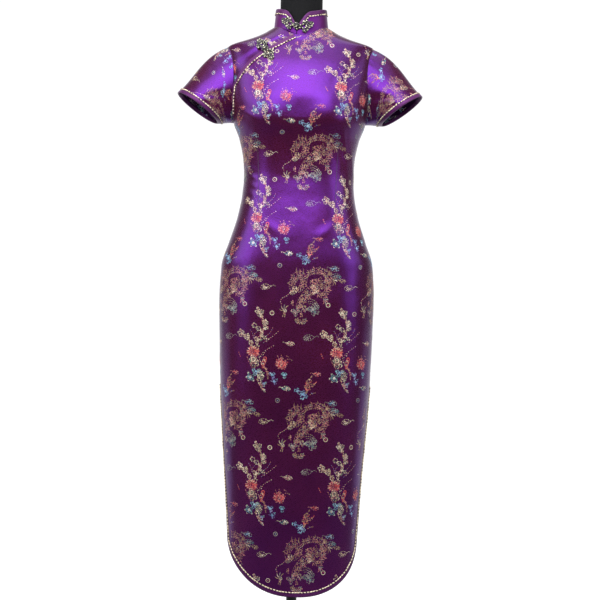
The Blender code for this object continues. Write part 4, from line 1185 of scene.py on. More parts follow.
def sleeve_points(turn, along, grow):
    """Left sleeve. turn is 0 at the top, pi/2 at the front. along is 0 at the armhole, 1 at the cuff."""
    turn, along, grow = np.broadcast_arrays(*(np.asarray(a, float) for a in (turn, along, grow)))
    up, ahead = np.cos(turn), np.sin(turn)
    half = ARMHOLE_HALF + CLOTH / 2 + grow
    reach = np.where(ahead > 0, ARMHOLE_FRONT, ARMHOLE_BACK) + CLOTH / 2 + grow
    base_y, base_z = -reach * ahead, ARMHOLE_MIDDLE + half * up
    base = np.stack([side_x(base_y, base_z) + SEAM_GAP * 1.5, base_y, base_z], axis=-1)
    rise = (CUFF_TOP - CUFF_BOTTOM) / 2
    half_cuff = np.linalg.norm(rise)
    rise_way = rise / half_cuff
    out_way = np.array([rise_way[2], 0, -rise_way[0]])
    cuff = (CUFF_TOP + CUFF_BOTTOM) / 2 + (up * (half_cuff + grow))[..., None] * rise_way
    cuff = cuff + (ahead * (CUFF_HALF_DEPTH + grow))[..., None] * np.array([0, -1, 0])
    cuff = cuff - ahead[..., None] * out_way * CUFF_SLANT
    puff = 6.75 * along * (1 - along) ** 2 * np.maximum(up, 0) ** 2 * SLEEVE_PUFF
    reach_out = (cuff - base) * along[..., None]
    return base + reach_out + puff[..., None] * np.array([rise_way[0], 0, rise_way[2]])


def sleeve_wear(turn, along):
    """Soft folds that run from the armhole, and ease gathered into its top."""
    ease = np.exp(-((along / 0.16) ** 2)) * np.maximum(np.cos(turn), 0)
    folds = 0.0009 * np.sin(5 * turn + 3.0 * along + 0.7) * np.sin(math.pi * np.clip(along * 1.1, 0, 1))
    fade = np.sin(math.pi * np.clip(along, 0, 1))
    deep = 0.0016 * np.exp(-(((turn - 1.75 + 0.5 * along) / 0.16) ** 2)) * fade
    drag = 0.0012 * np.exp(-(((turn - 2.25 + 0.8 * along) / 0.13) ** 2)) * fade
    return folds + deep + drag + 0.0005 * ease * np.sin(26 * turn)


def sleeve_at(turn, along, grow, mirror):
    wear = sleeve_wear(np.asarray(turn), np.asarray(along))
    return sleeve_points(turn, along, grow + wear) * np.array([mirror, 1, 1])


def sleeve_chart(mirror, grow):
    """Net of a sleeve, by distance round from its top line and up from its cuff."""
    fine = np.linspace(-math.pi, math.pi, ROUND_STEPS)
    top = sleeve_points(0.0, np.linspace(0, 1, 60), 0)
    long = np.linalg.norm(np.diff(top, axis=0), axis=1).sum()
    v = np.arange(BINDING + 0.002, long - 0.002, STEP)
    u = np.arange(-SLEEVE_CHART_HALF_WIDTH, SLEEVE_CHART_HALF_WIDTH, STEP)
    points = np.full((len(v), len(u), 3), np.nan)
    normals = np.zeros_like(points)
    for k, height in enumerate(v):
        along = 1 - height / long
        line = sleeve_at(fine, along, grow, mirror)
        length = distances(line)
        length -= length[ROUND_STEPS // 2]
        ok = (u > length[0]) & (u < length[-1])
        turns = np.interp(u[ok], length, fine)
        points[k, ok] = sleeve_at(turns, along, grow, mirror)
        way = sleeve_at(turns, along, grow + 0.002, mirror) - points[k, ok]
        normals[k, ok] = way / np.linalg.norm(way, axis=-1, keepdims=True)
    return {"points": points, "normals": normals, "u": u[0], "v": v[0], "keep": np.ones(points.shape[:2])}


# Collar
COLLAR_WALL = 0.0020
COLLAR_TOP_HALF_WIDTH = 0.0605
COLLAR_TOP_FRONT = 0.0590
COLLAR_TOP_BACK = 0.0560
COLLAR_TOP_Z = 1.484
COLLAR_FRONT_DROP = 0.017
COLLAR_BACK_RISE = 0.006
COLLAR_IN = 0.0015
COLLAR_ABOVE = 0.0005
COLLAR_OPEN_HEIGHT = 0.016
COLLAR_ROUND = 0.036
COLLAR_OPEN_GAP = 0.0010
LOWEST_BINDING = 0.0004
LOWEST_PIPING = 0.0006
OPENING_TURN = math.asin(OPENING_X / NECK_HALF_WIDTH)

NECK_ANGLES = np.linspace(0, 2 * math.pi, 721)


NECKLINE_HIGHEST_Z = 1.440


def neckline():
    """Height of the neckline at each angle round the neck."""
    reach = np.where(np.cos(NECK_ANGLES) > 0, NECK_FRONT, NECK_BACK)
    x, y = NECK_HALF_WIDTH * np.sin(NECK_ANGLES), -reach * np.cos(NECK_ANGLES)
    low, high = np.full_like(x, SHOULDER_Z), np.full_like(x, NECKLINE_HIGHEST_Z)
    return bisect(low, high, lambda z: field(np.stack([x, y, z], axis=-1)) < 0)[0]


NECKLINE = neckline()


def collar_base_z(turn):
    return np.interp(np.mod(turn, 2 * math.pi), NECK_ANGLES, NECKLINE)


def collar_height(turn):
    lean = np.where(np.cos(turn) > 0, -COLLAR_FRONT_DROP, -COLLAR_BACK_RISE)
    return COLLAR_TOP_Z + lean * np.cos(turn) * np.abs(np.cos(turn)) - collar_base_z(turn)


def collar_edge(turn):
    away = np.abs(np.mod(turn - OPENING_TURN + math.pi, 2 * math.pi) - math.pi) * NECK_HALF_WIDTH
    share = np.minimum(1.0, away / COLLAR_ROUND)
    return COLLAR_OPEN_HEIGHT + (collar_height(turn) - COLLAR_OPEN_HEIGHT) * np.sin(math.pi / 2 * share)


def collar_point(turn, height, grow):
    """A point of the band, by its angle round the neck and its height above the neckline."""
    turn, height, grow = np.broadcast_arrays(*(np.asarray(a, float) for a in (turn, height, grow)))
    front = np.cos(turn) > 0
    rise = height / collar_height(turn)
    base_width = NECK_HALF_WIDTH - COLLAR_IN
    wear = 0.0003 * np.sin(7 * turn + 1) * np.sin(60 * height)
    half_width = base_width + (COLLAR_TOP_HALF_WIDTH - base_width) * rise + grow + wear
    base_reach = np.where(front, NECK_FRONT, NECK_BACK) - COLLAR_IN
    top_reach = np.where(front, COLLAR_TOP_FRONT, COLLAR_TOP_BACK)
    reach = base_reach + (top_reach - base_reach) * rise + grow + wear
    z = collar_base_z(turn) + COLLAR_ABOVE + height
    return np.stack([half_width * np.sin(turn), -reach * np.cos(turn), z], axis=-1)


# Pieces
def ready(piece, slot, *nodes):
    """Gives a piece its body and the solids that it replaces, if any. The slot is not used."""
    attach(piece, "root")
    if nodes:
        piece.name = f"{nodes[0]}_worn"
        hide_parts(*nodes)
    return piece


def add_panel(which, columns):
    """Worn front, underlap or back, with its points spread evenly across it."""
    side = BACK if which == "back" else FRONT
    z = panel_heights(UNDERARM_Z + 0.03 if which == "underlap" else 0.0)
    right, left = panel_edges(z, which)
    share = np.linspace(0, 1, 241)
    grid = []
    for height, a, b in zip(z, right, left):
        turns = a + (b - a) * share
        line = skin(turns, height, side)
        run = distances(line)
        grid.append(skin(np.interp(np.linspace(0, run[-1], columns), run, turns), height, side))
    grid = np.array(grid)
    drop = underlap_drop(grid) if which == "underlap" else 0.0
    piece = shell(which, lay(grid, drop, side), lay(grid, drop - CLOTH, side), [SATIN, REVERSE])
    return ready(piece, "brocade_satin", which)


# Fold of a binding over an edge: distance in from the edge and height over the cloth, in shares of
# its width and in metres
FOLD = np.array(
    (
        (1.00, -0.0001), (1.00, 0.0006), (0.93, 0.00095), (0.60, 0.00105), (0.22, 0.00105),
        (0.04, 0.0009), (-0.09, 0.0003), (-0.13, -0.0006), (-0.09, -0.0015), (0.04, -0.0020),
        (0.30, -0.0021), (0.80, -0.0021), (0.80, -0.0013),
    )
)


PIPING_RADIUS = 0.00125
PIPING_AWAY = 0.0014
PIPING_LIFT = 0.0010
STITCH_PITCH = 0.0042
STITCH_ARCH = ((-0.0010, -0.0001), (-0.0004, 0.00022), (0.0004, 0.00022), (0.0010, -0.0001))
STITCH_CROWN = 0.00008
STITCH_HALF_WIDTH = 0.00022
STITCH_IN = 0.0012
STITCH_LIFT = 0.00105
NORMAL_FROM = 0.0030


def piping(name, centre, normals, beads, step, closed=False):
    cord = rope(name, centre, normals, PIPING_RADIUS, [GOLD_CORD, DARK_CORD], closed, beads, step)
    ready(cord, "gold_piping", name)


def body_binding(name, edge, inward, side, dotted=False):
    """Folded bias strip over a panel's edge. inward is 1 or -1, the side of the line that is cloth."""
    edge = settle(resample(edge, 0.0035))
    way = np.cross(outward(edge), tangents(edge, False)) * inward
    rings = []
    for share, lift in FOLD:
        foot = edge + way * share * BINDING
        foot = settle(foot) if share > 0 else foot
        rings.append(foot + outward(foot) * (lift + relief(foot, side))[:, None])
    ready(loft(name, np.stack(rings, axis=1), [BIAS], closed=False, sharp=60), "satin_binding", name)
    foot = settle(edge + way * (BINDING + PIPING_AWAY))
    normals = outward(foot)
    centre = foot + normals * (PIPING_LIFT + relief(foot, side))[:, None]
    beads, step = ((0.0074, 0.48), 0.0006) if dotted else ((0.0072, 0.30), 0.0009)
    piping(name.replace("binding", "piping"), centre, normals, beads, step)
    stitches(name.replace("binding", "stitching"), settle(edge + way * (BINDING - STITCH_IN)), side)


def stitches(name, line, side, normals=None):
    """Small hand stitches that hold a binding down, on a line of the skin or one with its own normals."""
    if normals is None:
        line = resample(line, STITCH_PITCH)
        normals = outward(line)
        high = line + normals * (STITCH_LIFT + relief(line, side))[:, None]
    else:
        high, normals = resample(line, STITCH_PITCH, also=(normals,))
        normals = normals / np.linalg.norm(normals, axis=-1, keepdims=True)
    along = tangents(high, False)
    points, faces = [], []
    for p, n, t in zip(high[1:-1], normals[1:-1], along[1:-1]):
        across = np.cross(n, t)
        start = len(points)
        for run, lift in STITCH_ARCH:
            for s in (-1, 0, 1):
                rounded = lift + (STITCH_CROWN if s == 0 else 0)
                points.append(p + t * run + across * s * STITCH_HALF_WIDTH + n * rounded)
        for r in range(3):
            for c in range(2):
                a = start + r * 3 + c
                faces.append((a, a + 1, a + 4, a + 3))
    piece = make(name, points, faces, [BIAS], sharp=180)
    return ready(piece, "satin_binding")


def hem_edge(side):
    z = np.concatenate(
        [
            np.linspace(SLIT_TOP_Z, HEM_CORNER_Z, 120, endpoint=False),
            HEM_CORNER_Z - (HEM_CORNER_Z - HEM_Z) * np.sin(np.radians(np.linspace(0, 90, 90)))
        ]
    )
    right = skin(-hem_turn(z, HEM_SQUARE_RIGHT_SIDE), z, side)
    left = skin(hem_turn(z, HEM_SQUARE_LEFT_SIDE), z, side)
    return np.concatenate([right, left[::-1][1:]])


def add_body_trims():
    for which, side in (("front", FRONT), ("back", BACK)):
        inward = 1 if side == FRONT else -1
        body_binding(f"binding_hem_{which}", hem_edge(side), inward, side)
    z = np.linspace(OVERLAP_BOUND_Z, NECK_FRONT_Z, 190)
    line = skin(turn_of(bound_x(z), z), z, FRONT)
    body_binding("binding_overlap", line, -1, FRONT, dotted=True)


def add_sleeves():
    turns = np.linspace(0, 2 * math.pi, 150, endpoint=False)
    for hand, mirror in (("left", 1), ("right", -1)):
        along = np.linspace(0, 1, 46)[:, None]
        outer = sleeve_at(turns[None], along, 0, mirror)
        inner = sleeve_at(turns[None], along, -CLOTH, mirror)
        piece = shell(f"sleeve_{hand}", outer, inner, [SATIN, REVERSE], around=True)
        ready(piece, "brocade_satin", f"sleeve_{hand}")
        length = np.linalg.norm(sleeve_points(turns, 1.0, 0) - sleeve_points(turns, 0.0, 0), axis=-1)
        rings = [sleeve_at(turns, 1 - share * BINDING / length, lift, mirror) for share, lift in FOLD]
        name = f"binding_cuff_{hand}"
        ready(loft(name, np.stack(rings, axis=1), [BIAS], True, sharp=60), "satin_binding", name)
        back = 1 - (BINDING + PIPING_AWAY) / length
        centre = sleeve_at(turns, back, PIPING_LIFT, mirror)
        out = sleeve_at(turns, back, NORMAL_FROM, mirror)
        seam = 1 - (BINDING - STITCH_IN) / length
        low = sleeve_at(turns, seam, STITCH_LIFT, mirror)
        high = sleeve_at(turns, seam, NORMAL_FROM, mirror)
        stitches(f"stitching_cuff_{hand}", low, FRONT, high - low)
        piping(f"piping_cuff_{hand}", centre, out - centre, (0.0072, 0.36), 0.0009, closed=True)


def add_collar():
    gap = COLLAR_OPEN_GAP / NECK_HALF_WIDTH
    turns = OPENING_TURN + np.linspace(gap, 2 * math.pi - gap, 260)
    shares = np.linspace(0, 1, 22)[:, None]
    outer = collar_point(turns[None], collar_edge(turns)[None] * shares, 0)
    inner = collar_point(turns[None], collar_edge(turns)[None] * shares, -COLLAR_WALL)
    ready(shell("collar", outer, inner, [COLLAR_SATIN, COLLAR_SATIN]), "brocade_satin", "collar")
    step, rise = np.gradient(turns) * NECK_HALF_WIDTH, np.gradient(collar_edge(turns))
    length = np.hypot(step, rise)
    rings = []
    for share, lift in FOLD:
        lift = lift if lift > 0 else lift - (COLLAR_WALL - CLOTH)
        deep = share * BINDING
        turn = turns + deep * rise / length / NECK_HALF_WIDTH
        turn = np.clip(turn, turns[0], turns[-1])
        height = np.maximum(collar_edge(turns) - deep * step / length, LOWEST_BINDING)
        rings.append(collar_point(turn, height, lift))
    binding = loft("binding_collar", np.stack(rings, axis=1), [BIAS], False, sharp=60)
    ready(binding, "satin_binding", "binding_collar")

    def inset(deep):
        turn = turns + deep * rise / length / NECK_HALF_WIDTH
        return turn[4:-4], (collar_edge(turns) - deep * step / length)[4:-4]

    turn, high = inset(BINDING + PIPING_AWAY)
    turn, high = turn[high > LOWEST_PIPING], high[high > LOWEST_PIPING]
    centre, out = collar_point(turn, high, PIPING_LIFT), collar_point(turn, high, NORMAL_FROM)
    piping("piping_collar", centre, out - centre, (0.0074, 0.42), 0.0006)
    turn, high = inset(BINDING - STITCH_IN)
    low, far = collar_point(turn, high, STITCH_LIFT), collar_point(turn, high, NORMAL_FROM)
    stitches("stitching_collar", low, FRONT, far - low)


# Knotted closures
CORD_RADIUS = 0.0016
CLOVER_RADIUS = 0.0110
CLOVER_WAVE = 0.0036
PETAL_AWAY = 0.0082
PETAL_HALF_LONG = 0.0036
PETAL_HALF_WIDE = 0.0027
HEART_RADIUS = 0.0026
STEM_REACH = 0.0125
KNOT_RADIUS = 0.0050
KNOT_CORD_RADIUS = 0.0013
BAND_LIFT = SEAM_GAP * 2 + 0.0009 * 2  # of a knot over the collar's binding, which is 0.9 mm thick
COLLAR_FROG_REACH = 0.0245
COLLAR_FROG_HEIGHT = 0.0180
OVERLAP_FROG_REACH = 0.0205
OVERLAP_FROG_Z = 1.3755


def closure_line(reach, has_loop):
    """Outline of half a closure: a three-leaved knot and a stem towards the button at (reach, 0)."""
    half = []
    if has_loop:
        loop = KNOT_RADIUS + CORD_RADIUS + SEAM_GAP
        half += [
            (reach + loop * math.cos(math.radians(a)), loop * math.sin(math.radians(a)))
            for a in (0, 45, 95)
        ]
        half.append((reach - loop * 0.9, loop * 0.55))
    else:
        half += [
            (reach - KNOT_RADIUS - CORD_RADIUS - SEAM_GAP, 0.0),
            (reach - KNOT_RADIUS - CORD_RADIUS * 2.2, 0.0021)
        ]
    half += [(CLOVER_RADIUS * 1.2, 0.0024), (CLOVER_RADIUS * 0.93, 0.0040)]
    for a in range(36, 181, 12):
        turn = math.radians(a)
        radius = CLOVER_RADIUS - CLOVER_WAVE * math.cos(3 * turn)
        half.append((radius * math.cos(turn), radius * math.sin(turn)))
    points = np.array(half + [(x, -y) for x, y in reversed(half[1:-1])])
    before, after, far = (np.roll(points, k, axis=0) for k in (1, -1, -2))
    t = np.linspace(0, 1, 12, endpoint=False)[:, None, None]
    pull = (after - before) * t + (2 * before - 5 * points + 4 * after - far) * t**2
    fine = points + 0.5 * (pull + (3 * points - before - 3 * after + far) * t**3)
    return resample(fine.transpose(1, 0, 2).reshape(-1, 2), 0.0006, closed=True)


def knot_cord(name, line, away, radius, beads, sides, *nodes, step=0.0006, lay_length=0.0060):
    looks = [BLACK_CORD, FLECK_CORD]
    cord = rope(name, line, away, radius, looks, True, beads, step, lay_length, strands=3, sides=sides)
    return ready(cord, "knotted_cord", *nodes)


def half_closure(name, place, reach, has_loop, far_lift):
    over = BAND_LIFT + CORD_RADIUS

    def lifted(line, extra=0.0):
        foot, away = place(line[:, 0] - reach, line[:, 1])
        distance = reach - line[:, 0]
        share = np.clip((distance - STEM_REACH) / 0.005, 0, 1)
        lift = over + (far_lift - over) * share + extra
        if not has_loop:
            lift = lift + (CORD_RADIUS * 2 + SEAM_GAP) * np.clip((STEM_REACH - distance) / 0.003, 0, 1)
        return foot + away * lift[:, None], away

    line, away = lifted(closure_line(reach, has_loop))
    knot_cord(name, line, away, CORD_RADIUS, (0.0070, 0.20), 12, name)
    for n, centre_turn in enumerate((math.pi / 3 * 1.02, math.pi, -math.pi / 3 * 1.02)):
        t = np.linspace(0, 2 * math.pi, 60, endpoint=False)
        out = np.array([math.cos(centre_turn), math.sin(centre_turn)])
        side = np.array([-out[1], out[0]])
        ring = PETAL_AWAY * out + PETAL_HALF_LONG * np.cos(t)[:, None] * out
        ring = ring + PETAL_HALF_WIDE * np.sin(t)[:, None] * side
        line, away = lifted(ring, 0.0002)
        knot_cord(f"{name}_petal_{n}", line, away, CORD_RADIUS * 0.85, (0.0076, 0.18), 10)
    t = np.linspace(0, 2 * math.pi, 50, endpoint=False)
    ring = HEART_RADIUS * np.stack([np.cos(t), np.sin(t)], axis=-1)
    line, away = lifted(ring, CORD_RADIUS * 1.1)
    knot_cord(f"{name}_heart", line, away, CORD_RADIUS * 0.8, (0.0076, 0.18), 10)


def add_button(name, place):
    """Ball knot: one cord that weaves over itself round a ball."""
    foot, away = (a[0] for a in place(np.zeros(1), np.zeros(1)))
    centre = foot + away * (BAND_LIFT + CORD_RADIUS * 2.6)
    t = np.linspace(0, 2 * math.pi, 420, endpoint=False)
    rise, way = np.radians(58) * np.sin(4 * t), 3 * t
    reach = KNOT_RADIUS - 0.0011 + 0.0005 * np.cos(8 * t + 0.6)
    across = np.cross(away, (0.0, 0.0, 1.0))
    across /= np.linalg.norm(across)
    up = np.cross(across, away)
    round_it = np.cos(way)[:, None] * across + np.sin(way)[:, None] * up
    out = np.cos(rise)[:, None] * round_it + np.sin(rise)[:, None] * away
    line = centre + out * reach[:, None]
    beads = (0.0130, 0.12)
    knot_cord(name, line, out, KNOT_CORD_RADIUS, beads, 10, name, step=0.0008, lay_length=0.0058)
    turns, rings = np.linspace(0, 2 * math.pi, 24, endpoint=False), []
    for a in np.linspace(-1.45, 1.45, 13):
        flat = np.cos(a) * (np.cos(turns)[:, None] * across + np.sin(turns)[:, None] * up)
        rings.append(centre + (flat + np.sin(a) * away) * (KNOT_RADIUS - 0.0012))
    ready(loft(f"{name}_core", np.array(rings), [BLACK_CORD], False), "knotted_cord")


def add_closures():
    over = BAND_LIFT + CORD_RADIUS
    soft = SEAM_GAP + CORD_RADIUS

    def on_band(direction):
        def place(along, across):
            turn = OPENING_TURN - direction * along / NECK_HALF_WIDTH
            away = np.stack([np.sin(turn), -np.cos(turn), np.zeros_like(turn)], axis=-1)
            return collar_point(turn, COLLAR_FROG_HEIGHT + across, 0), away

        return place

    half_closure("closure_collar_right", on_band(1), COLLAR_FROG_REACH, True, over)
    half_closure("closure_collar_left", on_band(-1), COLLAR_FROG_REACH, False, over)
    add_button("button_collar", on_band(1))

    spots = [
        settle(skin(turn_of(overlap_x(z), z), z, FRONT)) for z in (OVERLAP_FROG_Z, OVERLAP_FROG_Z + 0.01)
    ]
    away = outward(spots[0])
    along_edge = (spots[1] - spots[0]) / np.linalg.norm(spots[1] - spots[0])
    onto_front = np.cross(along_edge, away)
    onto_front = onto_front * math.copysign(1.0, onto_front[0])

    def on_front(direction):
        def place(along, across):
            spot = spots[0] - onto_front * direction * along[:, None] + along_edge * across[:, None]
            foot = settle(spot)
            normal = outward(foot)
            lift = relief(foot, FRONT) + (underlap_drop(foot) if direction < 0 else 0)
            return foot + normal * lift[:, None], normal

        return place

    half_closure("closure_overlap_front", on_front(1), OVERLAP_FROG_REACH, True, soft)
    half_closure("closure_overlap_under", on_front(-1), OVERLAP_FROG_REACH, False, soft)
    add_button("button_overlap", on_front(1))


# Form and stand
FORM_LOW_Z = 0.716
FORM_FOOT = 0.016
FLANGE_TOP_Z = 0.700 - SEAM_GAP
FRONT_CLEAR = CLOTH + 0.0011 + 0.0014  # room for the underlap under the front
BACK_CLEAR = 0.0026
# radius and height of the form's neck
NECK = (
    (0.0570, 1.4330), (0.0540, 1.4375), (0.0525, 1.4420), (0.0512, 1.4480), (0.0505, 1.4580),
    (0.0505, 1.5050), (0.0505, 1.5262), (0.0498, 1.5270),
)
# radius and height of each turned body's outline
CAP_OUTLINE = (
    (0.0490, 1.5273), (0.0505, 1.5283), (0.0505, 1.5318), (0.0497, 1.5333), (0.0470, 1.5347),
    (0.030, 1.5353), (0.004, 1.5353),
)
FLANGE_OUTLINE = (
    (0.0185, 0.655), (0.0200, 0.6565), (0.0200, FLANGE_TOP_Z - 0.0095), (0.0230, FLANGE_TOP_Z - 0.0080),
    (0.0550, FLANGE_TOP_Z - 0.0062), (0.0550, FLANGE_TOP_Z),
)
POLE_OUTLINE = ((0.0125, 0.0453), (0.0125, 0.250), (0.0125, 0.450), (0.0125, 0.6547))
BASE_OUTLINE = (
    (0.170, 0.0), (0.1735, 0.0006), (0.175, 0.0025), (0.175, 0.0070), (0.1735, 0.0092),
    (0.168, 0.0102), (0.100, 0.0115), (0.040, 0.0132), (0.030, 0.0145), (0.0245, 0.0200),
    (0.0235, 0.0400), (0.0210, 0.0450), (0.0140, 0.0450),
)


def add_form():
    """Torso under the cloth, from its rounded foot to the top of its neck."""
    heights = np.concatenate([np.linspace(FORM_LOW_Z, 1.19, 74), np.linspace(1.196, 1.424, 50)])
    rings = []
    for z in heights:
        half = np.linspace(-math.pi / 2, math.pi / 2, 65)
        points = np.concatenate([skin(half[:-1], z, FRONT), skin(half[::-1][:-1], z, BACK)])
        share = np.clip((0.045 - points[:, 1]) / 0.04, 0, 1)
        inset = (CLOTH + BACK_CLEAR) + (FRONT_CLEAR - BACK_CLEAR) * share
        rings.append(points - outward(points) * inset[:, None])
    foot = []
    for a in np.linspace(0, math.pi / 2, 9)[:-1]:
        shrink = 1 - 0.05 * (1 - math.sin(a))
        foot.append(rings[0] * (shrink, shrink, 0) + (0, 0, FORM_LOW_Z - FORM_FOOT * math.cos(a)))
    flat = rings[-1][:, :2] / np.linalg.norm(rings[-1][:, :2], axis=1, keepdims=True)
    for radius, z in NECK:
        rings.append(np.concatenate([flat * radius, np.full((len(flat), 1), z)], axis=1))
    piece = loft("form_torso", np.array(foot + rings), [JERSEY], False, sharp=40)
    ready(piece, "form_jersey", "form_torso")


CORNER = 0.0012


def turned(name, profile, look, slot, sides=96):
    """Turned body about the pole's axis, with its corners softened."""
    profile = np.array(profile, float)
    soft = [profile[0]]
    for before, corner, after in zip(profile, profile[1:], profile[2:]):
        near, far = (
            corner + way / max(np.linalg.norm(way), 1e-9) * min(CORNER, np.linalg.norm(way) * 0.3)
            for way in (before - corner, after - corner)
        )
        soft += [near, corner * 0.72 + (near + far) * 0.14, far]
    soft.append(profile[-1])
    a = np.linspace(0, 2 * math.pi, sides, endpoint=False)
    rings = [np.stack([r * np.cos(a), r * np.sin(a), np.full(sides, z)], axis=-1) for r, z in soft]
    return ready(loft(name, np.array(rings), [look], False, sharp=35), slot, name)


def add_stand():
    turned("form_neck_cap", CAP_OUTLINE, CAP, "form_cap")
    turned("form_flange", FLANGE_OUTLINE, STEEL, "stand_metal")
    turned("stand_pole", POLE_OUTLINE, STEEL, "stand_metal", 48)
    turned("stand_base", BASE_OUTLINE, STEEL, "stand_metal", 128)


WIDE, HIGH = REPEAT_U / 1000, REPEAT_V / 1000
DRAGON_X = 0.020
MOVED_ROUND = 0.05
UNDERLAP_UP = 0.08
FLOATS_TOP_Z = 0.60
FLOATS_FROM = math.radians(48)
BACK_UP = 0.13
SLEEVE_U = (0.075, -0.120)
SLEEVE_V = 0.045


def add_brocade(drawing):
    """Figures on the outside of each cloth piece, and their floats on the inside where it can be seen."""
    shifts = [(DRAGON_X + i * WIDE, j * HIGH) for i in range(-2, 2) for j in range(-3, 3)]
    points, normals, turns, rows, low_u, low_v = body_chart(FRONT)
    clean = np.nan_to_num(points)
    for which, lift in (("front", 0.0), ("underlap", underlap_drop(clean)[..., None])):
        found = chart(points, lift, normals, low_u, low_v, body_keep(turns, rows, which))
        moved = shifts if which == "front" else [(u + MOVED_ROUND, v + UNDERLAP_UP) for u, v in shifts]
        ready(embroider(f"brocade_{which}", drawing, found, moved), "brocade_satin")
    reverse = np.arange(len(THREAD_NAMES))
    for name, other in (("copper", "teal"), ("gold", "grey"), ("coral", "cream"), ("rose", "sky")):
        reverse[THREAD_NAMES.index(name)] = THREAD_NAMES.index(other)
    points, normals, turns, rows, low_u, low_v = body_chart(BACK)
    keep = body_keep(turns, rows, "back")
    on_back = [(u + MOVED_ROUND, v + BACK_UP) for u, v in shifts]
    outside = chart(points, 0.0, normals, low_u, low_v, keep)
    ready(embroider("brocade_back", drawing, outside, on_back), "brocade_satin")
    skirt = keep & (rows < FLOATS_TOP_Z)[:, None] & (np.abs(turns) > FLOATS_FROM)
    inside = chart(points, -CLOTH, normals, low_u, low_v, skirt)
    ready(embroider("floats_back", drawing, inside, on_back, -1, reverse), "brocade_satin")
    for hand, mirror in (("left", 1), ("right", -1)):
        moved = [(u * mirror, v) for v in (SLEEVE_V, SLEEVE_V - HIGH) for u in SLEEVE_U]
        outside = sleeve_chart(mirror, 0.0)
        ready(embroider(f"brocade_sleeve_{hand}", drawing, outside, moved), "brocade_satin")
        inside = sleeve_chart(mirror, -CLOTH)
        ready(embroider(f"floats_sleeve_{hand}", drawing, inside, moved, -1, reverse), "brocade_satin")


def add_seam_lines():
    """Darts at the waist, as fine dark ribbons of thread that paint the shade of their sunk stitching
    lines.
    """
    d = Drawing()
    points, normals, turns, rows, low_u, low_v = body_chart(FRONT)
    for x0, x1, x2 in ((-92, -97, -101), (86, 91, 95)):
        # dark ribbons that paint the shade of each dart's sunk line
        d.ribbon(((x0, 140), (x1, 262), (x2, 372)), (0.4, 1.1, 1.1, 0.4), "seam", 2, 4.0)
    found = chart(points, 0.0, normals, low_u, low_v, body_keep(turns, rows, "front"))
    ready(embroider("darts_front", d, found, [(0.0, 0.0)]), "brocade_satin")


# Studio
def area_light(name, place, aim, size, power, spread=180):
    light = bpy.data.lights.new(name, "AREA")
    light.shape = "RECTANGLE"
    light.size, light.size_y = size
    light.energy = power
    light.spread = math.radians(spread)
    made = bpy.data.objects.new(name, light)
    bpy.context.scene.collection.objects.link(made)
    made.location = place
    way = np.asarray(aim, float) - np.asarray(place, float)
    flat = math.hypot(way[0], way[1])
    made.rotation_euler = (math.atan2(flat, -way[2]), 0, math.atan2(way[1], way[0]) - math.pi / 2)
    return made


CAMERA = (0.0084, -2.8, 0.791)
CAMERA_ROLL = math.radians(-1.0)


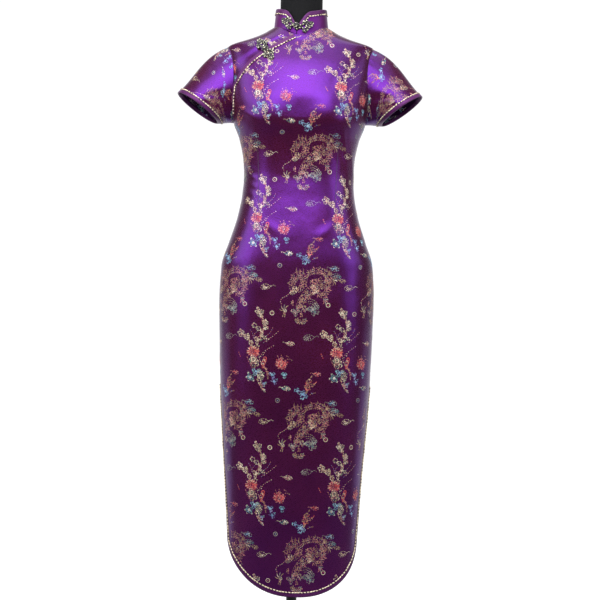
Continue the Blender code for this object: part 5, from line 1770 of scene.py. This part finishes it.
def add_studio():
    mesh = bpy.data.meshes.new("studio_floor")
    mesh.from_pydata([(-9, -7, 0), (9, -7, 0), (9, 12, 0), (-9, 12, 0)], [], [(0, 1, 2, 3)])
    made, shader = base_look("studio_floor_paint_and_painted_glow", (0.60, 0.60, 0.61), 0.7, level=0.2)
    tree = made.node_tree
    clouds = noise(tree, (1.2, 1.2, 1.2), 3)
    tone = ramp(tree, clouds, ((0.3, (0.20, 0.20, 0.205)), (0.7, (0.24, 0.24, 0.24))))
    tree.links.new(tone, shader.inputs["Base Color"])
    # Painted light: the floor glows, dim at and in front of the dress and fully white from 0.3 m behind
    # it, so that the floor reads white behind the dress
    shader.inputs["Emission Strength"].default_value = 1.0
    far = node(tree, "ShaderNodeNewGeometry")
    places = node(tree, "ShaderNodeSeparateXYZ")
    reach = node(tree, "ShaderNodeMapRange", From_Min=0.0, From_Max=0.30)
    tree.links.new(far.outputs["Position"], places.inputs["Vector"])
    tree.links.new(places.outputs["Y"], reach.inputs["Value"])
    glow = ramp(tree, reach.outputs["Result"], ((0.0, (0.05, 0.05, 0.05)), (1.0, (1.0, 1.0, 1.0))))
    tree.links.new(glow, shader.inputs["Emission Color"])
    mesh.materials.append(made)
    floor = bpy.data.objects.new("studio_floor", mesh)
    bpy.context.scene.collection.objects.link(floor)

    world = bpy.data.worlds.new("studio")
    bpy.context.scene.world = world
    world.use_nodes = True
    tree = world.node_tree
    back = tree.nodes["Background"]
    where = node(tree, "ShaderNodeTexCoord")
    parts = node(tree, "ShaderNodeSeparateXYZ")
    tree.links.new(where.outputs["Generated"], parts.inputs["Vector"])
    tones = ((0.0, (0.11, 0.11, 0.113)), (0.55, (0.30, 0.30, 0.305)), (0.90, (1.04, 1.04, 1.05)))
    shade = ramp(tree, parts.outputs["Y"], tones)
    tree.links.new(shade, back.inputs["Color"])
    back.inputs["Strength"].default_value = 1.0

    area_light("key", (-0.10, -1.99, 2.60), (0, 0, 1.25), (3.9, 1.78), 49, spread=80)
    area_light("top", (0.0, -0.35, 3.0), (0, -0.1, 1.3), (2.6, 2.2), 22, spread=110)
    area_light("wing_left", (-2.6, -1.2, 2.3), (0, 0, 1.3), (2.4, 1.8), 14, spread=80)
    area_light("wing_right", (2.6, -1.2, 2.3), (0, 0, 1.3), (2.4, 1.8), 8, spread=80)
    area_light("fill_left", (-2.4, -1.7, 1.25), (0, 0, 1.0), (0.8, 1.5), 8)
    area_light("fill_right", (2.5, -1.6, 1.25), (0, 0, 1.0), (0.8, 1.5), 10)

    lens = bpy.data.cameras.new("camera")
    lens.lens, lens.sensor_width = 70, 36
    lens.clip_start, lens.clip_end = 0.1, 60
    camera = bpy.data.objects.new("camera", lens)
    bpy.context.scene.collection.objects.link(camera)
    camera.location = CAMERA
    camera.rotation_euler = (math.pi / 2, CAMERA_ROLL, 0)
    bpy.context.scene.camera = camera
    bpy.context.scene.view_settings.view_transform = "Standard"


for which, columns in (("front", 84), ("underlap", 30), ("back", 84)):
    add_panel(which, columns)
add_body_trims()
add_sleeves()
add_collar()
add_closures()
add_form()
add_stand()
add_brocade(brocade())
add_seam_lines()
add_studio()
